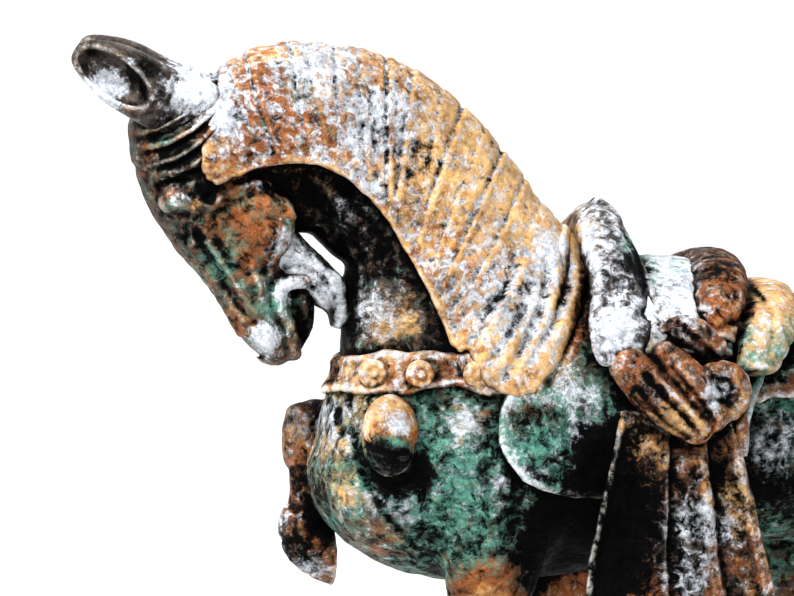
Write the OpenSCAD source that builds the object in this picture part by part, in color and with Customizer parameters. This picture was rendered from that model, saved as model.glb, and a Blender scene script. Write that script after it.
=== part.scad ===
// Cast bronze statue of a stepping war horse with an arched neck, a hogged mane, a saddle and
// knotted saddle cloths. It stands on three hooves, with the right foreleg raised.
// +Z is up, the horse faces -X and its left side is -Y. The origin is on the ground, under the middle.

/* [Overall] */
// Height from the ground to the top of the neck; every other size is for 320 and grows with it
statue_h = 320; // [240:10:400]
// Thickness of the hollow castings' walls
wall = 4; // [3:0.5:5]

/* [Mane and tack] */
// How far the mane stands out from the neck
mane_t = 3.6; // [2.5:0.1:4.5]
// Number of grooves across the mane
mane_grooves = 13; // [9:1:17]
// Thickness of the saddle blanket
blanket_t = 4; // [3:0.5:5]
// Thickness of the breast collar and the crupper
strap_t = 3; // [2:0.5:3.5]
// Height of the breast collar and the crupper
strap_w = 12; // [9:1:14]
// Radius of the two bells on the breast
bell_r = 10.5; // [8:0.5:11]
// Number of pleats in each hanging cloth
pleats = 4; // [3:1:6]

/* [Joints] */
// Radius of the dowels that hold the legs, the head and the tail
dowel_r = 2.5; // [2:0.5:3]
// Length of those dowels
dowel_l = 24; // [20:1:26]
// Gap around a dowel, a stud or the neck's spigot
joint_gap = 0.1; // [0.05:0.05:0.2]
// Radius of the plate that closes the core hole under the belly
plate_r = 15; // [13:0.5:16]

/* [Hidden] */
big = 600;                      // larger than the statue, for half spaces
charcoal = [0.27, 0.26, 0.25];
ochre = [0.68, 0.5, 0.3];
verdigris = [0.42, 0.6, 0.54];
brown = [0.46, 0.31, 0.2];
pale = [0.66, 0.64, 0.7];
brass = [0.72, 0.58, 0.3];

// Stations of the lofts, from one end to the other.
// Each is [x, y, z, half width across the horse, half depth in the side view].
torso = [
    [-88, 0, 174, 5, 5], [-84, 0, 173, 20, 20], [-75, 0, 170, 31, 31], [-60, 0, 166, 39, 42],
    [-40, 0, 165, 43, 49], [-14, 0, 170, 42, 54], [14, 0, 172, 43, 53], [42, 0, 172, 44, 50],
    [72, 0, 174, 43, 48], [98, 0, 177, 42, 47], [122, 0, 180, 40, 46], [144, 0, 179, 35, 41],
    [160, 0, 176, 27, 32], [170, 0, 173, 17, 20], [175, 0, 171, 5, 6]
];
neck = [
    [-18, 0, 186, 36, 50], [-37, 0, 220, 28, 48], [-46, 0, 248, 22, 37], [-66, 0, 271, 20, 36],
    [-87, 0, 285, 19, 32], [-111, 0, 289, 18, 27], [-133, 0, 284, 15, 21]
];
head = [
    [-150, 0, 303, 7, 7], [-146, 0, 293, 15, 17], [-140, 0, 277, 19, 24], [-132, 0, 261, 20, 26],
    [-126, 0, 246, 18, 23], [-120, 0, 231, 14, 19], [-114, 0, 217, 12, 13], [-108, 0, 206, 12, 11],
    [-105, 0, 200, 8, 7]
];
jaw = [
    [-112, 0, 247, 13, 11], [-102, 0, 239, 12, 9], [-93, 0, 233, 11, 7], [-86, 0, 226, 9.5, 5.5],
    [-83.5, 0, 219, 8, 4.5], [-84.5, 0, 214, 6, 2.5]
];
ear = [
    [-146, -11, 295, 5, 6], [-155, -14, 301, 7, 9], [-166, -16, 306, 7.5, 9.5],
    [-176, -17, 311, 6.5, 8.5], [-184, -17, 315, 5, 7], [-189, -17, 317.5, 2, 3]
];
left_fore = [
    [-18, -26, 176, 13, 26], [-22, -28, 155, 15, 26], [-29, -28, 134, 14, 21], [-31, -26, 112, 12, 16],
    [-34, -23, 92, 10, 11], [-36, -21, 75, 10.5, 11.5], [-37, -19, 60, 8, 8.5], [-37, -18, 44, 6.5, 7.5],
    [-38, -17, 28, 8.5, 9.5], [-42, -16, 18, 7.5, 8], [-45, -16, 9, 11, 12], [-47, -16, -2, 13.5, 15]
];
left_hind = [
    [128, -20, 192, 16, 32], [126, -27, 168, 17, 34], [122, -30, 145, 15, 27], [128, -30, 124, 12, 18],
    [139, -29, 106, 9.5, 13], [149, -28, 91, 8.5, 11.5], [152, -28, 77, 8, 9.5], [151, -28, 58, 6.5, 8],
    [149, -28, 42, 6.5, 7.5], [147, -28, 28, 8.5, 9.5], [142, -28, 18, 7.5, 8], [139, -28, 9, 11, 12],
    [136, -28, -2, 13.5, 15]
];
right_hind = [
    [122, 20, 192, 16, 32], [116, 27, 168, 17, 34], [107, 30, 145, 15, 27], [105, 30, 124, 12, 18],
    [109, 29, 106, 9.5, 13], [114, 28, 91, 8.5, 11.5], [114, 28, 77, 8, 9.5], [109, 28, 58, 6.5, 8],
    [104, 28, 42, 6.5, 7.5], [100, 28, 28, 8.5, 9.5], [95, 28, 18, 7.5, 8], [92, 28, 9, 11, 12],
    [89, 28, -2, 13.5, 15]
];
raised_forearm = [
    [-14, 25, 166, 13, 24], [-38, 26, 164, 14, 20], [-60, 26, 165, 13, 15.5], [-76, 26, 168, 11, 12.5],
    [-88, 26, 171, 10.5, 11.5], [-96, 26, 172, 7, 7]
];
raised_cannon = [
    [-92, 26, 181, 5, 6], [-91, 26, 176, 9, 9], [-91, 26, 165, 9.5, 9.5], [-91, 26, 154, 7.5, 7.5],
    [-92, 26, 143, 7.5, 7.5], [-93, 26, 135, 8.5, 9], [-91, 26, 127, 8, 8], [-86, 26, 121, 6, 5]
];
raised_hoof = [[-94, 26, 131, 7, 7], [-88, 26, 127, 10, 11], [-79, 26, 124, 12.5, 13]];
tail_line = [
    [156, 0, 198, 9, 9], [167, 0, 205, 9, 9], [176, 0, 202, 10, 9], [180, 0, 187, 13, 8.5],
    [179, 0, 165, 15, 8.5], [176, 0, 140, 14, 9], [173, 0, 116, 10, 8], [172, 0, 98, 3, 3]
];
// Arches over the back, in a frame turned a quarter, from the left side to the right.
// Each station is [y, -x, z, half length along the horse, half thickness].
cover_arch = [
    [-50, -15, 190, 10, 7], [-45, -17, 208, 14, 8], [-33, -17, 228, 15, 9], [-16, -16, 244, 11, 10],
    [0, -16, 250, 9, 10], [16, -16, 244, 11, 10], [33, -17, 228, 15, 9], [45, -17, 208, 14, 8],
    [50, -15, 190, 10, 7]
];
seat_arch = [
    [-46, -37, 204, 22, 6], [-37, -37, 219, 23, 7], [-20, -39, 229, 24, 8], [0, -41, 231, 25, 8],
    [20, -39, 229, 24, 8], [37, -37, 219, 23, 7], [46, -37, 204, 22, 6]
];
cantle_arch = [
    [-45, -52, 209, 8, 7], [-37, -55, 222, 11, 9], [-20, -59, 230, 12, 10], [0, -62, 232, 12, 10],
    [20, -59, 230, 12, 10], [37, -55, 222, 11, 9], [45, -52, 209, 8, 7]
];
roll_arch = [
    [-49, -67, 198, 8, 6], [-42, -73, 211, 11, 7], [-23, -79, 220, 11, 8], [0, -83, 222, 11, 8],
    [23, -79, 220, 11, 8], [42, -73, 211, 11, 7], [49, -67, 198, 8, 6]
];
// Side outlines, as [x, z]. The mane's ends in two rounded locks on the shoulder.
mane_outline = [
    [2, 330], [2, 256], [-5, 230], [-20, 212], [-28, 205], [-33, 210], [-39, 205], [-43, 210],
    [-49, 223], [-61, 242], [-76, 262], [-95, 272], [-118, 272], [-134, 266], [-152, 280], [-152, 330]
];
blanket_outline = [
    [3, 250], [-5, 228], [-19, 205], [-27, 189], [-32, 174], [-29, 165], [-19, 155], [-3, 150],
    [76, 148], [86, 240]
];
// Lobes of a knot on the left side. Each runs between two balls, given as [x, y, z, radius].
knot_lobes = [
    [[16, -52, 199, 8], [41, -57, 178, 8.5]],
    [[30, -53, 202, 7.5], [48, -56, 182, 7.5]],
    [[52, -51, 192, 9.5], [52, -53, 190, 9.5]],
    [[32, -47, 211, 7], [46, -48, 207, 6.5]]
];
// Forelock tufts on the left temple, in the same way
tufts = [
    [[-149, -13, 292, 3], [-160, -9, 287, 2.2]], [[-142, -17, 293, 3.2], [-159, -12, 281, 2.2]],
    [[-141, -18, 286, 3], [-156, -14, 274, 2]], [[-134, -19, 284, 3], [-151, -17, 267, 2]],
    [[-147, -4, 303, 4], [-160, -3, 292, 2.6]]
];
// Levels of a hanging cloth on the left side, as [middle x, outer y, z, half width]
cloth_levels = [
    [35, -53, 178, 24], [35, -54, 165, 26], [35, -54, 150, 29], [35, -54, 128, 33],
    [36, -55, 106, 38], [37, -55, 88, 42]
];
cloth_t = 3;                    // thickness of a hanging cloth behind its pleats
pleat_d = 3.5;                  // depth of a pleat
collar_z = 197;                 // height of the collar's middle
collar_end = -12;               // x where the collar goes under the blanket
crupper_z = 192;
crupper_start = 64;
bell_at = [-71, 35, 174];       // middle of a bell, without its side
bell_h = 31;
right_ear_back = [7, 0, 1.5];   // how far the right ear sits behind the left one
ear_dish = [1, -6, -1];         // how far the ear's hollow is set to the outside
ear_wall = 2;
slot_w = 1.6;                   // width of the mane's grooves
slot_l = 80;                    // reach of those grooves down the neck
fit_gap = 0.5;                  // gap where a thin piece lies against another
rosette_r = 6;
lobe_fn = 8;                    // facets round a lobe
collar_rosettes_at = [[-76, 25], [-60, 35], [-39, 39]];   // as [x, y]
crupper_rosettes_at = [[104, 42], [132, 37], [157, 27]];
core_at = [46, 0, 124];         // middle of the core plate's seat under the belly
core_r = 9;
core_pad = 5;                   // solid metal over and round the core plate
plate_t = 3;
screw_r = 1;
screw_l = 7;
screw_ring = 12;                // distance of the screws from the plate's middle
studs_at = [[31, 13, 212], [44, 13, 212]];
stud_r = 2;
stud_l = 25;
spigot_wall = 3;
spigot_l = 10;                  // reach of the neck's spigot to each side of the joint
past = 10;                      // how far a drilled hole starts before its surface
neck_cut = [-42, 228];          // x and z of the neck's joint
neck_tilt = 28;                 // angle of that joint, tilted towards the head
hollow_end = 5;                 // the neck is hollow up to this many of its stations
fore_cut = 120;                 // heights of the joints of the standing legs
hind_cut = 130;
raised_cut = -81;               // x of the raised leg's joint
leg_dowels_at = [[-31, -27, fore_cut], [125, -30, hind_cut], [105, 30, hind_cut]];
raised_dowel_at = [raised_cut, 26, 169];
head_dowel_at = [-126, 0, 288];
tail_dowel_at = [170, 0, 186];

// Catmull-Rom curve through the stations, with m steps between two of them
function between(p, i, t) =
    let (a = p[max(i - 1, 0)], b = p[i], c = p[i + 1], d = p[min(i + 2, len(p) - 1)])
    0.5 * (2 * b + (c - a) * t + (2 * a - 5 * b + 4 * c - d) * t * t + (3 * b - a - 3 * c + d) * t * t * t);
function smooth(p, m) = [for (i = [0:len(p) - 2]) for (j = [0:m - 1]) between(p, i, j / m), p[len(p) - 1]];
// Direction of the curve in the side view
function heading(q, i) =
    let (a = q[max(i - 1, 0)], b = q[min(i + 1, len(q) - 1)]) atan2(b[2] - a[2], b[0] - a[0]);
// A ring of n points round station s, square to direction d and grown by g
function ring(s, d, n, g) = [for (i = [0:n - 1]) let (t = 360 * i / n, w = s[3] + g, h = s[4] + g)
    [s[0] - h * sin(t) * sin(d), s[1] + w * cos(t), s[2] + h * sin(t) * cos(d)]];
function part_of(p, count) = [for (i = [0:count - 1]) p[i]];
// One level of a hanging cloth: its plain back edge, then its pleated outer edge
function cloth_ring(s, n) = concat(
    [for (i = [0:n]) [s[0] + s[3] * (2 * i / n - 1), s[1] + cloth_t, s[2]]],
    [for (i = [n:-1:0]) let (u = i / n)
        [s[0] + s[3] * (2 * u - 1), s[1] - pleat_d * (0.5 - 0.5 * cos(360 * pleats * u)), s[2]]]
);

// A closed skin over rings of n points each
module skin(rings, n) {
    last = len(rings) - n;
    ends = [[for (i = [0:n - 1]) i], [for (i = [n - 1:-1:0]) last + i]];
    sides = [for (j = [0:n:last - n]) for (i = [0:n - 1]) let (a = j + i, b = j + (i + 1) % n)
        each [[a, a + n, b + n], [a, b + n, b]]];
    polyhedron(rings, concat(ends, sides));
}

// A loft through stations, with n points round it, m steps between stations, grown by g
module loft(stations, n = 16, m = 2, g = 0) {
    q = smooth(stations, m);
    skin([for (i = [0:len(q) - 1]) each ring(q[i], heading(q, i), n, g)], n);
}

// Colours a piece and brings it to the statue's size
module finished(colour) color(colour) scale(statue_h / 320) children();
// Merges all that a casting is made of into one skin
module cast() resize([0, 0, 0]) union() children();
module mirrored() mirror([0, 1, 0]) children();
module both_sides() {
    children();
    mirrored() children();
}
module lobes(list) for (e = list) hull() for (b = e) translate([b[0], b[1], b[2]]) sphere(b[3], $fn = lobe_fn);
module side_view(outline) rotate([90, 0, 0]) linear_extrude(big, center = true) polygon(outline);
module below(z) translate([-big / 2, -big / 2, z - big]) cube(big);
module ahead_of(x) translate([x - big, -big / 2, -big / 2]) cube(big);
module neck_side(gap = 0) translate([neck_cut[0], 0, neck_cut[1]]) rotate([0, -neck_tilt, 0])
    translate([-big / 2, -big / 2, gap]) cube(big);
module band(z, height) translate([-big / 2, -big / 2, z - height / 2]) cube([big, big, height]);

// The horse's main forms, grown by g
module trunk(g = 0) loft(torso, 24, 2, g);
module crest(g = 0) loft(neck, 20, 2, g);
module skull(g = 0) loft(head, 18, 2, g);
module ear_form(g = 0) loft(ear, 10, 2, g);
module tail_form() loft(tail_line, 14, 2);
module horse_mass(g = 0) {
    trunk(g);
    crest(g);
    loft(left_fore, 12, 1, g);
    loft(raised_forearm, 12, 1, g);
    loft(left_hind, 12, 1, g);
    loft(right_hind, 12, 1, g);
}
module neck_hollow(g) loft(part_of(neck, hollow_end), 20, 1, g);
module hollow(g) {
    loft(torso, 24, 1, g);
    neck_hollow(g);
}
module blanket(g = blanket_t) intersection() {
    trunk(g);
    side_view(blanket_outline);
}

// Dowels and their holes, grown by g
module dowel(at, g) translate(at) cylinder(r = dowel_r + g, h = dowel_l + 2 * g, center = true, $fn = 32);
module level_dowel(at, g) translate(at) rotate([0, 90, 0]) dowel([0, 0, 0], g);
module leg_dowel_pins(g = 0) {
    for (at = leg_dowels_at) dowel(at, g);
    level_dowel(raised_dowel_at, g);
}
module head_dowel_pin(g = 0) level_dowel(head_dowel_at, g);
module tail_dowel_pin(g = 0) level_dowel(tail_dowel_at, g);
module stud_pins(g = 0) both_sides() for (at = studs_at) translate(at)
    cylinder(r = stud_r + g, h = stud_l, $fn = 20);
module core_bore(r, from, to) translate(core_at + [0, 0, from]) cylinder(r = r, h = to - from, $fn = 48);
module screws_at() for (i = [0:2]) translate(core_at) rotate(120 * i) translate([screw_ring, 0, 0]) children();

// The body stops at the neck's joint and just under the tops of the legs
module body_casting() finished(charcoal) difference() {
    cast() difference() {
        union() {
            trunk();
            difference() {
                crest();
                neck_side();
            }
            difference() {
                loft(left_fore, 12, 1);
                below(fore_cut);
            }
            difference() {
                loft(raised_forearm, 12, 1);
                ahead_of(raised_cut);
            }
            difference() {
                union() {
                    loft(left_hind, 12, 1);
                    loft(right_hind, 12, 1);
                }
                below(hind_cut);
            }
        }
        difference() {
            hollow(-wall);
            core_bore(plate_r + core_pad, 0, core_pad);
        }
    }
    core_bore(plate_r + joint_gap, -past, 0);
    core_bore(core_r, -past, 2 * past);
    leg_dowel_pins(joint_gap);
    tail_dowel_pin(joint_gap);
    stud_pins(joint_gap);
    screws_at() cylinder(r = screw_r, h = screw_l, $fn = 24);
}

// The neck is scribed to the head and closed in front of it
module neck_casting() finished(charcoal) difference() {
    cast() difference() {
        intersection() {
            crest();
            neck_side();
        }
        neck_hollow(-wall);
        trunk();
        skull();
    }
    head_dowel_pin(joint_gap);
}

module head_casting() finished(brown) difference() {
    cast() skull();
    head_dowel_pin(joint_gap);
}

module lower_jaw() finished(charcoal) cast() difference() {
    loft(jaw, 12, 2);
    skull();
    crest(fit_gap);
}

// A leaf-shaped left ear, set back by some way and hollowed from its outer side
module ear_casting(back = [0, 0, 0]) difference() {
    translate(back) difference() {
        ear_form();
        translate(ear_dish) ear_form(-ear_wall);
    }
    skull();
    crest(mane_t);
}
module left_ear() finished(pale) cast() ear_casting();
module right_ear() finished(pale) cast() mirrored() ear_casting(right_ear_back);

// Slots across the crest, square to the neck's curve
module mane_slots() {
    q = smooth(neck, 4);
    for (i = [1:mane_grooves]) {
        at = 3 + round(i * (len(q) - 5) / mane_grooves);
        translate([q[at][0], 0, q[at][2]]) rotate([0, -heading(q, at), 0])
            translate([-slot_w / 2, -big / 2, -slot_l]) cube([slot_w, big, slot_l]);
    }
}

module mane() finished(ochre) cast() difference() {
    intersection() {
        union() {
            crest(mane_t);
            trunk(mane_t);
        }
        side_view(mane_outline);
    }
    crest();
    trunk();
    skull(fit_gap);
    difference() {
        mane_slots();
        crest(mane_t / 2);
    }
}

module forelock() finished(ochre) cast() difference() {
    both_sides() lobes(tufts);
    skull();
    crest(mane_t);
    ear_form(fit_gap);
    mirrored() translate(right_ear_back) ear_form(fit_gap);
}

// The standing legs end in flat soles on the ground
module standing_leg(stations, top) finished(charcoal) difference() {
    cast() difference() {
        intersection() {
            loft(stations, 12, 2);
            below(top);
        }
        below(0);
        trunk();
    }
    leg_dowel_pins(joint_gap);
}
module left_foreleg() standing_leg(left_fore, fore_cut);
module left_hind_leg() standing_leg(left_hind, hind_cut);
module right_hind_leg() standing_leg(right_hind, hind_cut);
module right_foreleg() finished(charcoal) difference() {
    cast() difference() {
        union() {
            intersection() {
                loft(raised_forearm, 12, 1);
                ahead_of(raised_cut);
            }
            loft(raised_cannon, 12, 2);
            loft(raised_hoof, 12, 3);
        }
        trunk();
    }
    leg_dowel_pins(joint_gap);
}

module tail() finished(charcoal) difference() {
    cast() difference() {
        tail_form();
        trunk();
    }
    tail_dowel_pin(joint_gap);
}

// Keeps what lies outside the blanket and the body
module on_blanket() difference() {
    children();
    trunk(blanket_t);
    crest();
    stud_pins(joint_gap);
}

module saddle_blanket() finished(verdigris) cast() difference() {
    blanket();
    horse_mass();
    stud_pins(joint_gap);
}

module cover() rotate(90) loft(cover_arch, 12, 2);
module cantle() rotate(90) loft(cantle_arch, 12, 2);
module seat() rotate(90) loft(seat_arch, 12, 2);
module roll() rotate(90) loft(roll_arch, 12, 2);

module saddle_cover() finished(pale) cast() on_blanket() cover();
module saddle_cantle() finished(ochre) cast() on_blanket() cantle();
module saddle_seat() finished(verdigris) cast() difference() {
    on_blanket() seat();
    cover();
    cantle();
}
module back_roll() finished(verdigris) cast() difference() {
    on_blanket() roll();
    cantle();
    seat();
}

module knot() difference() {
    on_blanket() lobes(knot_lobes);
    cover();
    seat();
    cantle();
    roll();
}
module left_knot() finished(brown) cast() knot();
module right_knot() finished(brown) cast() mirrored() knot();

// A pleated cloth that hangs from under the knot
module hanging_cloth() difference() {
    q = smooth(cloth_levels, 2);
    skin([for (s = q) each cloth_ring(s, 4 * pleats)], 8 * pleats + 2);
    knot();
    cover();
    horse_mass(blanket_t);
}
module left_cloth() finished(brown) cast() hanging_cloth();
module right_cloth() finished(brown) cast() mirrored() hanging_cloth();

module strap_at(z) difference() {
    intersection() {
        union() {
            trunk(strap_t);
            crest(strap_t);
        }
        band(z, strap_w);
    }
    horse_mass();
    blanket();
}
module collar() difference() {
    intersection() {
        strap_at(collar_z);
        ahead_of(collar_end);
    }
    loft(raised_cannon, 12, 2);
}
module crupper_strap() difference() {
    strap_at(crupper_z);
    ahead_of(crupper_start);
    roll();
    tail_form();
    both_sides() hanging_cloth();
}
module breast_collar() finished(ochre) cast() collar();
module crupper() finished(ochre) cast() crupper_strap();

// Domed rosettes that stand on a strap
module rosettes(places, z) both_sides() for (at = places) translate([at[0], -at[1] - strap_t, z])
    sphere(rosette_r, $fn = 10);
module collar_rosettes() finished(brass) cast() difference() {
    rosettes(collar_rosettes_at, collar_z);
    collar();
    horse_mass(strap_t);
}
module crupper_rosettes() finished(brass) cast() difference() {
    rosettes(crupper_rosettes_at, crupper_z);
    crupper_strap();
    horse_mass(strap_t);
}

module bell() translate([bell_at[0], -bell_at[1], bell_at[2]]) scale([1, 1, bell_h / bell_r / 2])
    sphere(bell_r, $fn = 16);
module breast_bells() finished(verdigris) cast() difference() {
    both_sides() bell();
    horse_mass();
    collar();
}

// A sleeve inside the neck's joint
module neck_spigot() finished(brass) cast() difference() {
    neck_hollow(-wall - joint_gap);
    neck_hollow(-wall - spigot_wall);
    neck_side(spigot_l);
    difference() {
        cube(2 * big, center = true);
        neck_side(-spigot_l);
    }
}

module leg_dowels() finished(brass) leg_dowel_pins();
module head_dowel() finished(brass) head_dowel_pin();
module tail_dowel() finished(brass) tail_dowel_pin();

// Pins that hold the seat on the body, through the blanket
module saddle_studs() finished(brass) stud_pins();

module core_plate() finished(brass) difference() {
    translate(core_at - [0, 0, plate_t]) cylinder(r = plate_r, h = plate_t, $fn = 64);
    screws_at() translate([0, 0, -plate_t - 1]) cylinder(r = screw_r + joint_gap, h = plate_t + 2, $fn = 24);
}
module core_plate_screws() finished(brass) screws_at() {
    translate([0, 0, -plate_t]) cylinder(r = screw_r, h = plate_t + screw_l - 1, $fn = 24);
    translate([0, 0, -plate_t - 1]) cylinder(r = 2 * screw_r, h = 1, $fn = 24);
}

body_casting();
neck_casting();
head_casting();
lower_jaw();
left_ear();
right_ear();
mane();
forelock();
left_foreleg();
right_foreleg();
left_hind_leg();
right_hind_leg();
tail();
saddle_blanket();
saddle_cover();
saddle_seat();
saddle_cantle();
back_roll();
left_knot();
right_knot();
left_cloth();
right_cloth();
breast_collar();
collar_rosettes();
breast_bells();
crupper();
crupper_rosettes();
neck_spigot();
leg_dowels();
head_dowel();
tail_dowel();
saddle_studs();
core_plate();
core_plate_screws();
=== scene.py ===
"""A patinated bronze horse, sculpted around its CAD frame.

Each casting is modelled as clay: a signed distance on a grid, built from soft forms, then carved
with strokes and skinned. Lengths are millimetres until a piece is made, and metres after that.
+Z is up, the horse faces -X and its left side is -Y, as in the frame.
"""

import itertools
import math

import bpy
import numpy as np
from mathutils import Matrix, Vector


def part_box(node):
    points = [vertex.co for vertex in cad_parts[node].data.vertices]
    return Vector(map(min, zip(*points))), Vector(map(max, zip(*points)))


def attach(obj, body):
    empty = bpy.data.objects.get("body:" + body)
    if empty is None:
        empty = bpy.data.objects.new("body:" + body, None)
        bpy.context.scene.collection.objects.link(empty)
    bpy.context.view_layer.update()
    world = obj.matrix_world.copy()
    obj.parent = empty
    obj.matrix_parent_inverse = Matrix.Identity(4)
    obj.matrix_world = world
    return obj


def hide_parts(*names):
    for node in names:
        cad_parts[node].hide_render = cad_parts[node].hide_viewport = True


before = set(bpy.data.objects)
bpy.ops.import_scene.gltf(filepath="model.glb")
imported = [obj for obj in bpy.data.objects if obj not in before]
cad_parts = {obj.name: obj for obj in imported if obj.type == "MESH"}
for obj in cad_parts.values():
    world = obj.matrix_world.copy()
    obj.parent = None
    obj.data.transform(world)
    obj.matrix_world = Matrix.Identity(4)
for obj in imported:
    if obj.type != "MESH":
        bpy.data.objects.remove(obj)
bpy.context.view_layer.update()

import openvdb
from mathutils import Vector

MM = 0.001
FAR = 40.0                       # distance that stands for "well outside", in mm
COARSE = 2.0                     # grid step of the broad forms
DRAFT = 1.0

# Strokes are laid out as the statue is looked at, from an angle LEAN in front of its side, about
# x = PIVOT
LEAN = math.radians(12)
PIVOT = -100.0


def drawn(x, y):
    """Where a point is across the side drawing, the same for both sides of the horse."""
    return PIVOT + math.cos(LEAN) * (x - PIVOT) + math.sin(LEAN) * np.abs(y)


def flank(u, y, z):
    """The point of the left flank that is drawn at u and z, at a distance y from the middle plane."""
    return PIVOT + (u - PIVOT - math.sin(LEAN) * y) / math.cos(LEAN), -y, z


# ---------------------------------------------------------------- curves

def spline(points, steps):
    """A Catmull-Rom curve through rows of numbers, with so many steps between two rows."""
    p = np.asarray(points, float)
    rows = []
    for i in range(len(p) - 1):
        a, b, c, d = p[max(i - 1, 0)], p[i], p[i + 1], p[min(i + 2, len(p) - 1)]
        for t in np.arange(steps) / steps:
            rows.append(0.5 * (2 * b + (c - a) * t + (2 * a - 5 * b + 4 * c - d) * t**2
                               + (3 * b - a - 3 * c + d) * t**3))
    return np.array([*rows, p[-1]])


def nearest_on(pieces, coords):
    """Distance to a chain of points, and how far along the chain the nearest place is (0 to 1)."""
    best, along = None, None
    last = len(pieces) - 1
    for i in range(last):
        a, b = pieces[i], pieces[i + 1]
        span = [q - p for p, q in zip(a, b)]
        size = sum(s * s for s in span) or 1e-9
        t = sum((c - p) * s for c, p, s in zip(coords, a, span)) / size
        t = np.clip(t, 0, 1)
        d = sum((c - p - t * s) ** 2 for c, p, s in zip(coords, a, span))
        if best is None:
            best, along = d, (i + t) / last
        else:
            closer = d < best
            best = np.where(closer, d, best)
            along = np.where(closer, (i + t) / last, along)
    return np.sqrt(best), along


# ---------------------------------------------------------------- forms
# A form is (function of x, y, z giving a distance; lowest corner; highest corner).

def ellipsoid_distance(a, b, c):
    """Distance from an ellipsoid's skin, of coordinates already divided: (value, radius) pairs."""
    k0 = np.sqrt(sum((v / r) ** 2 for v, r in (a, b, c)))
    k1 = np.sqrt(sum((v / r**2) ** 2 for v, r in (a, b, c))) + 1e-9
    return k0 * (k0 - 1) / k1


def egg(centre, radii, tilt=0.0, yaw=0.0):
    """An ellipsoid, tilted in the side view and then turned about the vertical, in degrees."""
    tilt, yaw = math.radians(tilt), math.radians(yaw)

    def distance(x, y, z):
        x, y, z = x - centre[0], y - centre[1], z - centre[2]
        x, y = x * math.cos(yaw) + y * math.sin(yaw), y * math.cos(yaw) - x * math.sin(yaw)
        u = x * math.cos(tilt) + z * math.sin(tilt)
        w = z * math.cos(tilt) - x * math.sin(tilt)
        return ellipsoid_distance((u, radii[0]), (y, radii[1]), (w, radii[2]))

    reach = max(radii)
    return distance, np.subtract(centre, reach), np.add(centre, reach)


def rod(points, radii, steps=1):
    """A round bar of changing radius through points."""
    rows = spline([[*p, r] for p, r in zip(points, radii)], steps)

    def distance(x, y, z):
        d, along = nearest_on(rows[:, :3], (x, y, z))
        return d - np.interp(along, np.linspace(0, 1, len(rows)), rows[:, 3])

    reach = rows[:, 3].max()
    return distance, rows[:, :3].min(0) - reach, rows[:, :3].max(0) + reach


def loft(stations, steps=3):
    """A limb or trunk of oval section. A station is x, y, z, half width across, half depth."""
    rows = spline(stations, steps)
    run = np.cumsum([0, *np.linalg.norm(np.diff(rows[:, :3], axis=0), axis=1)])
    room = np.minimum(run, run[-1] - run) + 1.5          # so that no section bulges past an end

    def distance(x, y, z):
        best = None
        for i in range(len(rows) - 1):
            (ax, ay, az, *_), (bx, by, bz, *_) = rows[i], rows[i + 1]
            size = math.hypot(bx - ax, bz - az)
            tx, tz = (bx - ax) / size, (bz - az) / size
            t = np.clip(((x - ax) * tx + (z - az) * tz) / size, 0, 1)
            wide, deep = (rows[i][k] + t * (rows[i + 1][k] - rows[i][k]) for k in (3, 4))
            dx, dz = x - ax - t * size * tx, z - az - t * size * tz
            along = dx * tx + dz * tz
            across = dx * tz - dz * tx
            dy = y - ay - t * (by - ay)
            reach = np.minimum(np.minimum(wide, deep), room[i] + t * (room[i + 1] - room[i]))
            k0 = np.sqrt((across / deep) ** 2 + (dy / wide) ** 2)
            k1 = np.sqrt((across / deep**2) ** 2 + (dy / wide**2) ** 2) + 1e-9
            section = k0 * (k0 - 1) / k1
            d = np.sqrt(np.maximum(section + reach, 0) ** 2 + along**2) - reach
            best = d if best is None else np.minimum(best, d)
        return best

    reach = rows[:, 3:].max(1)[:, None]
    return distance, (rows[:, :3] - reach).min(0), (rows[:, :3] + reach).max(0)


def flipped(form):
    """The same form on the other side of the horse."""
    distance, low, high = form
    return (lambda x, y, z: distance(x, -y, z)), low * (1, -1, 1) - (0, high[1] - low[1], 0), \
        high * (1, -1, 1) + (0, high[1] - low[1], 0)


def polygon(points, x, z):
    """Distance outside a closed outline, negative within it."""
    best, inside = None, False
    for (ax, az), (bx, bz) in zip(points, [*points[1:], points[0]]):
        t = np.clip(((x - ax) * (bx - ax) + (z - az) * (bz - az)) / ((bx - ax)**2 + (bz - az)**2), 0, 1)
        d = (x - ax - t * (bx - ax))**2 + (z - az - t * (bz - az))**2
        best = d if best is None else np.minimum(best, d)
        if az != bz:
            crosses = ((z >= az) != (z >= bz)) & (x < ax + (z - az) * (bx - ax) / (bz - az))
            inside = inside ^ crosses
    return np.where(inside, -1, 1) * np.sqrt(best)


def soft_min(a, b, blend):
    if blend <= 0:
        return np.minimum(a, b)
    h = np.clip(0.5 + 0.5 * (b - a) / blend, 0, 1)
    return b * (1 - h) + a * h - blend * h * (1 - h)


def soft_max(a, b, blend):
    return -soft_min(-a, -b, blend)


# ---------------------------------------------------------------- clay

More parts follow.
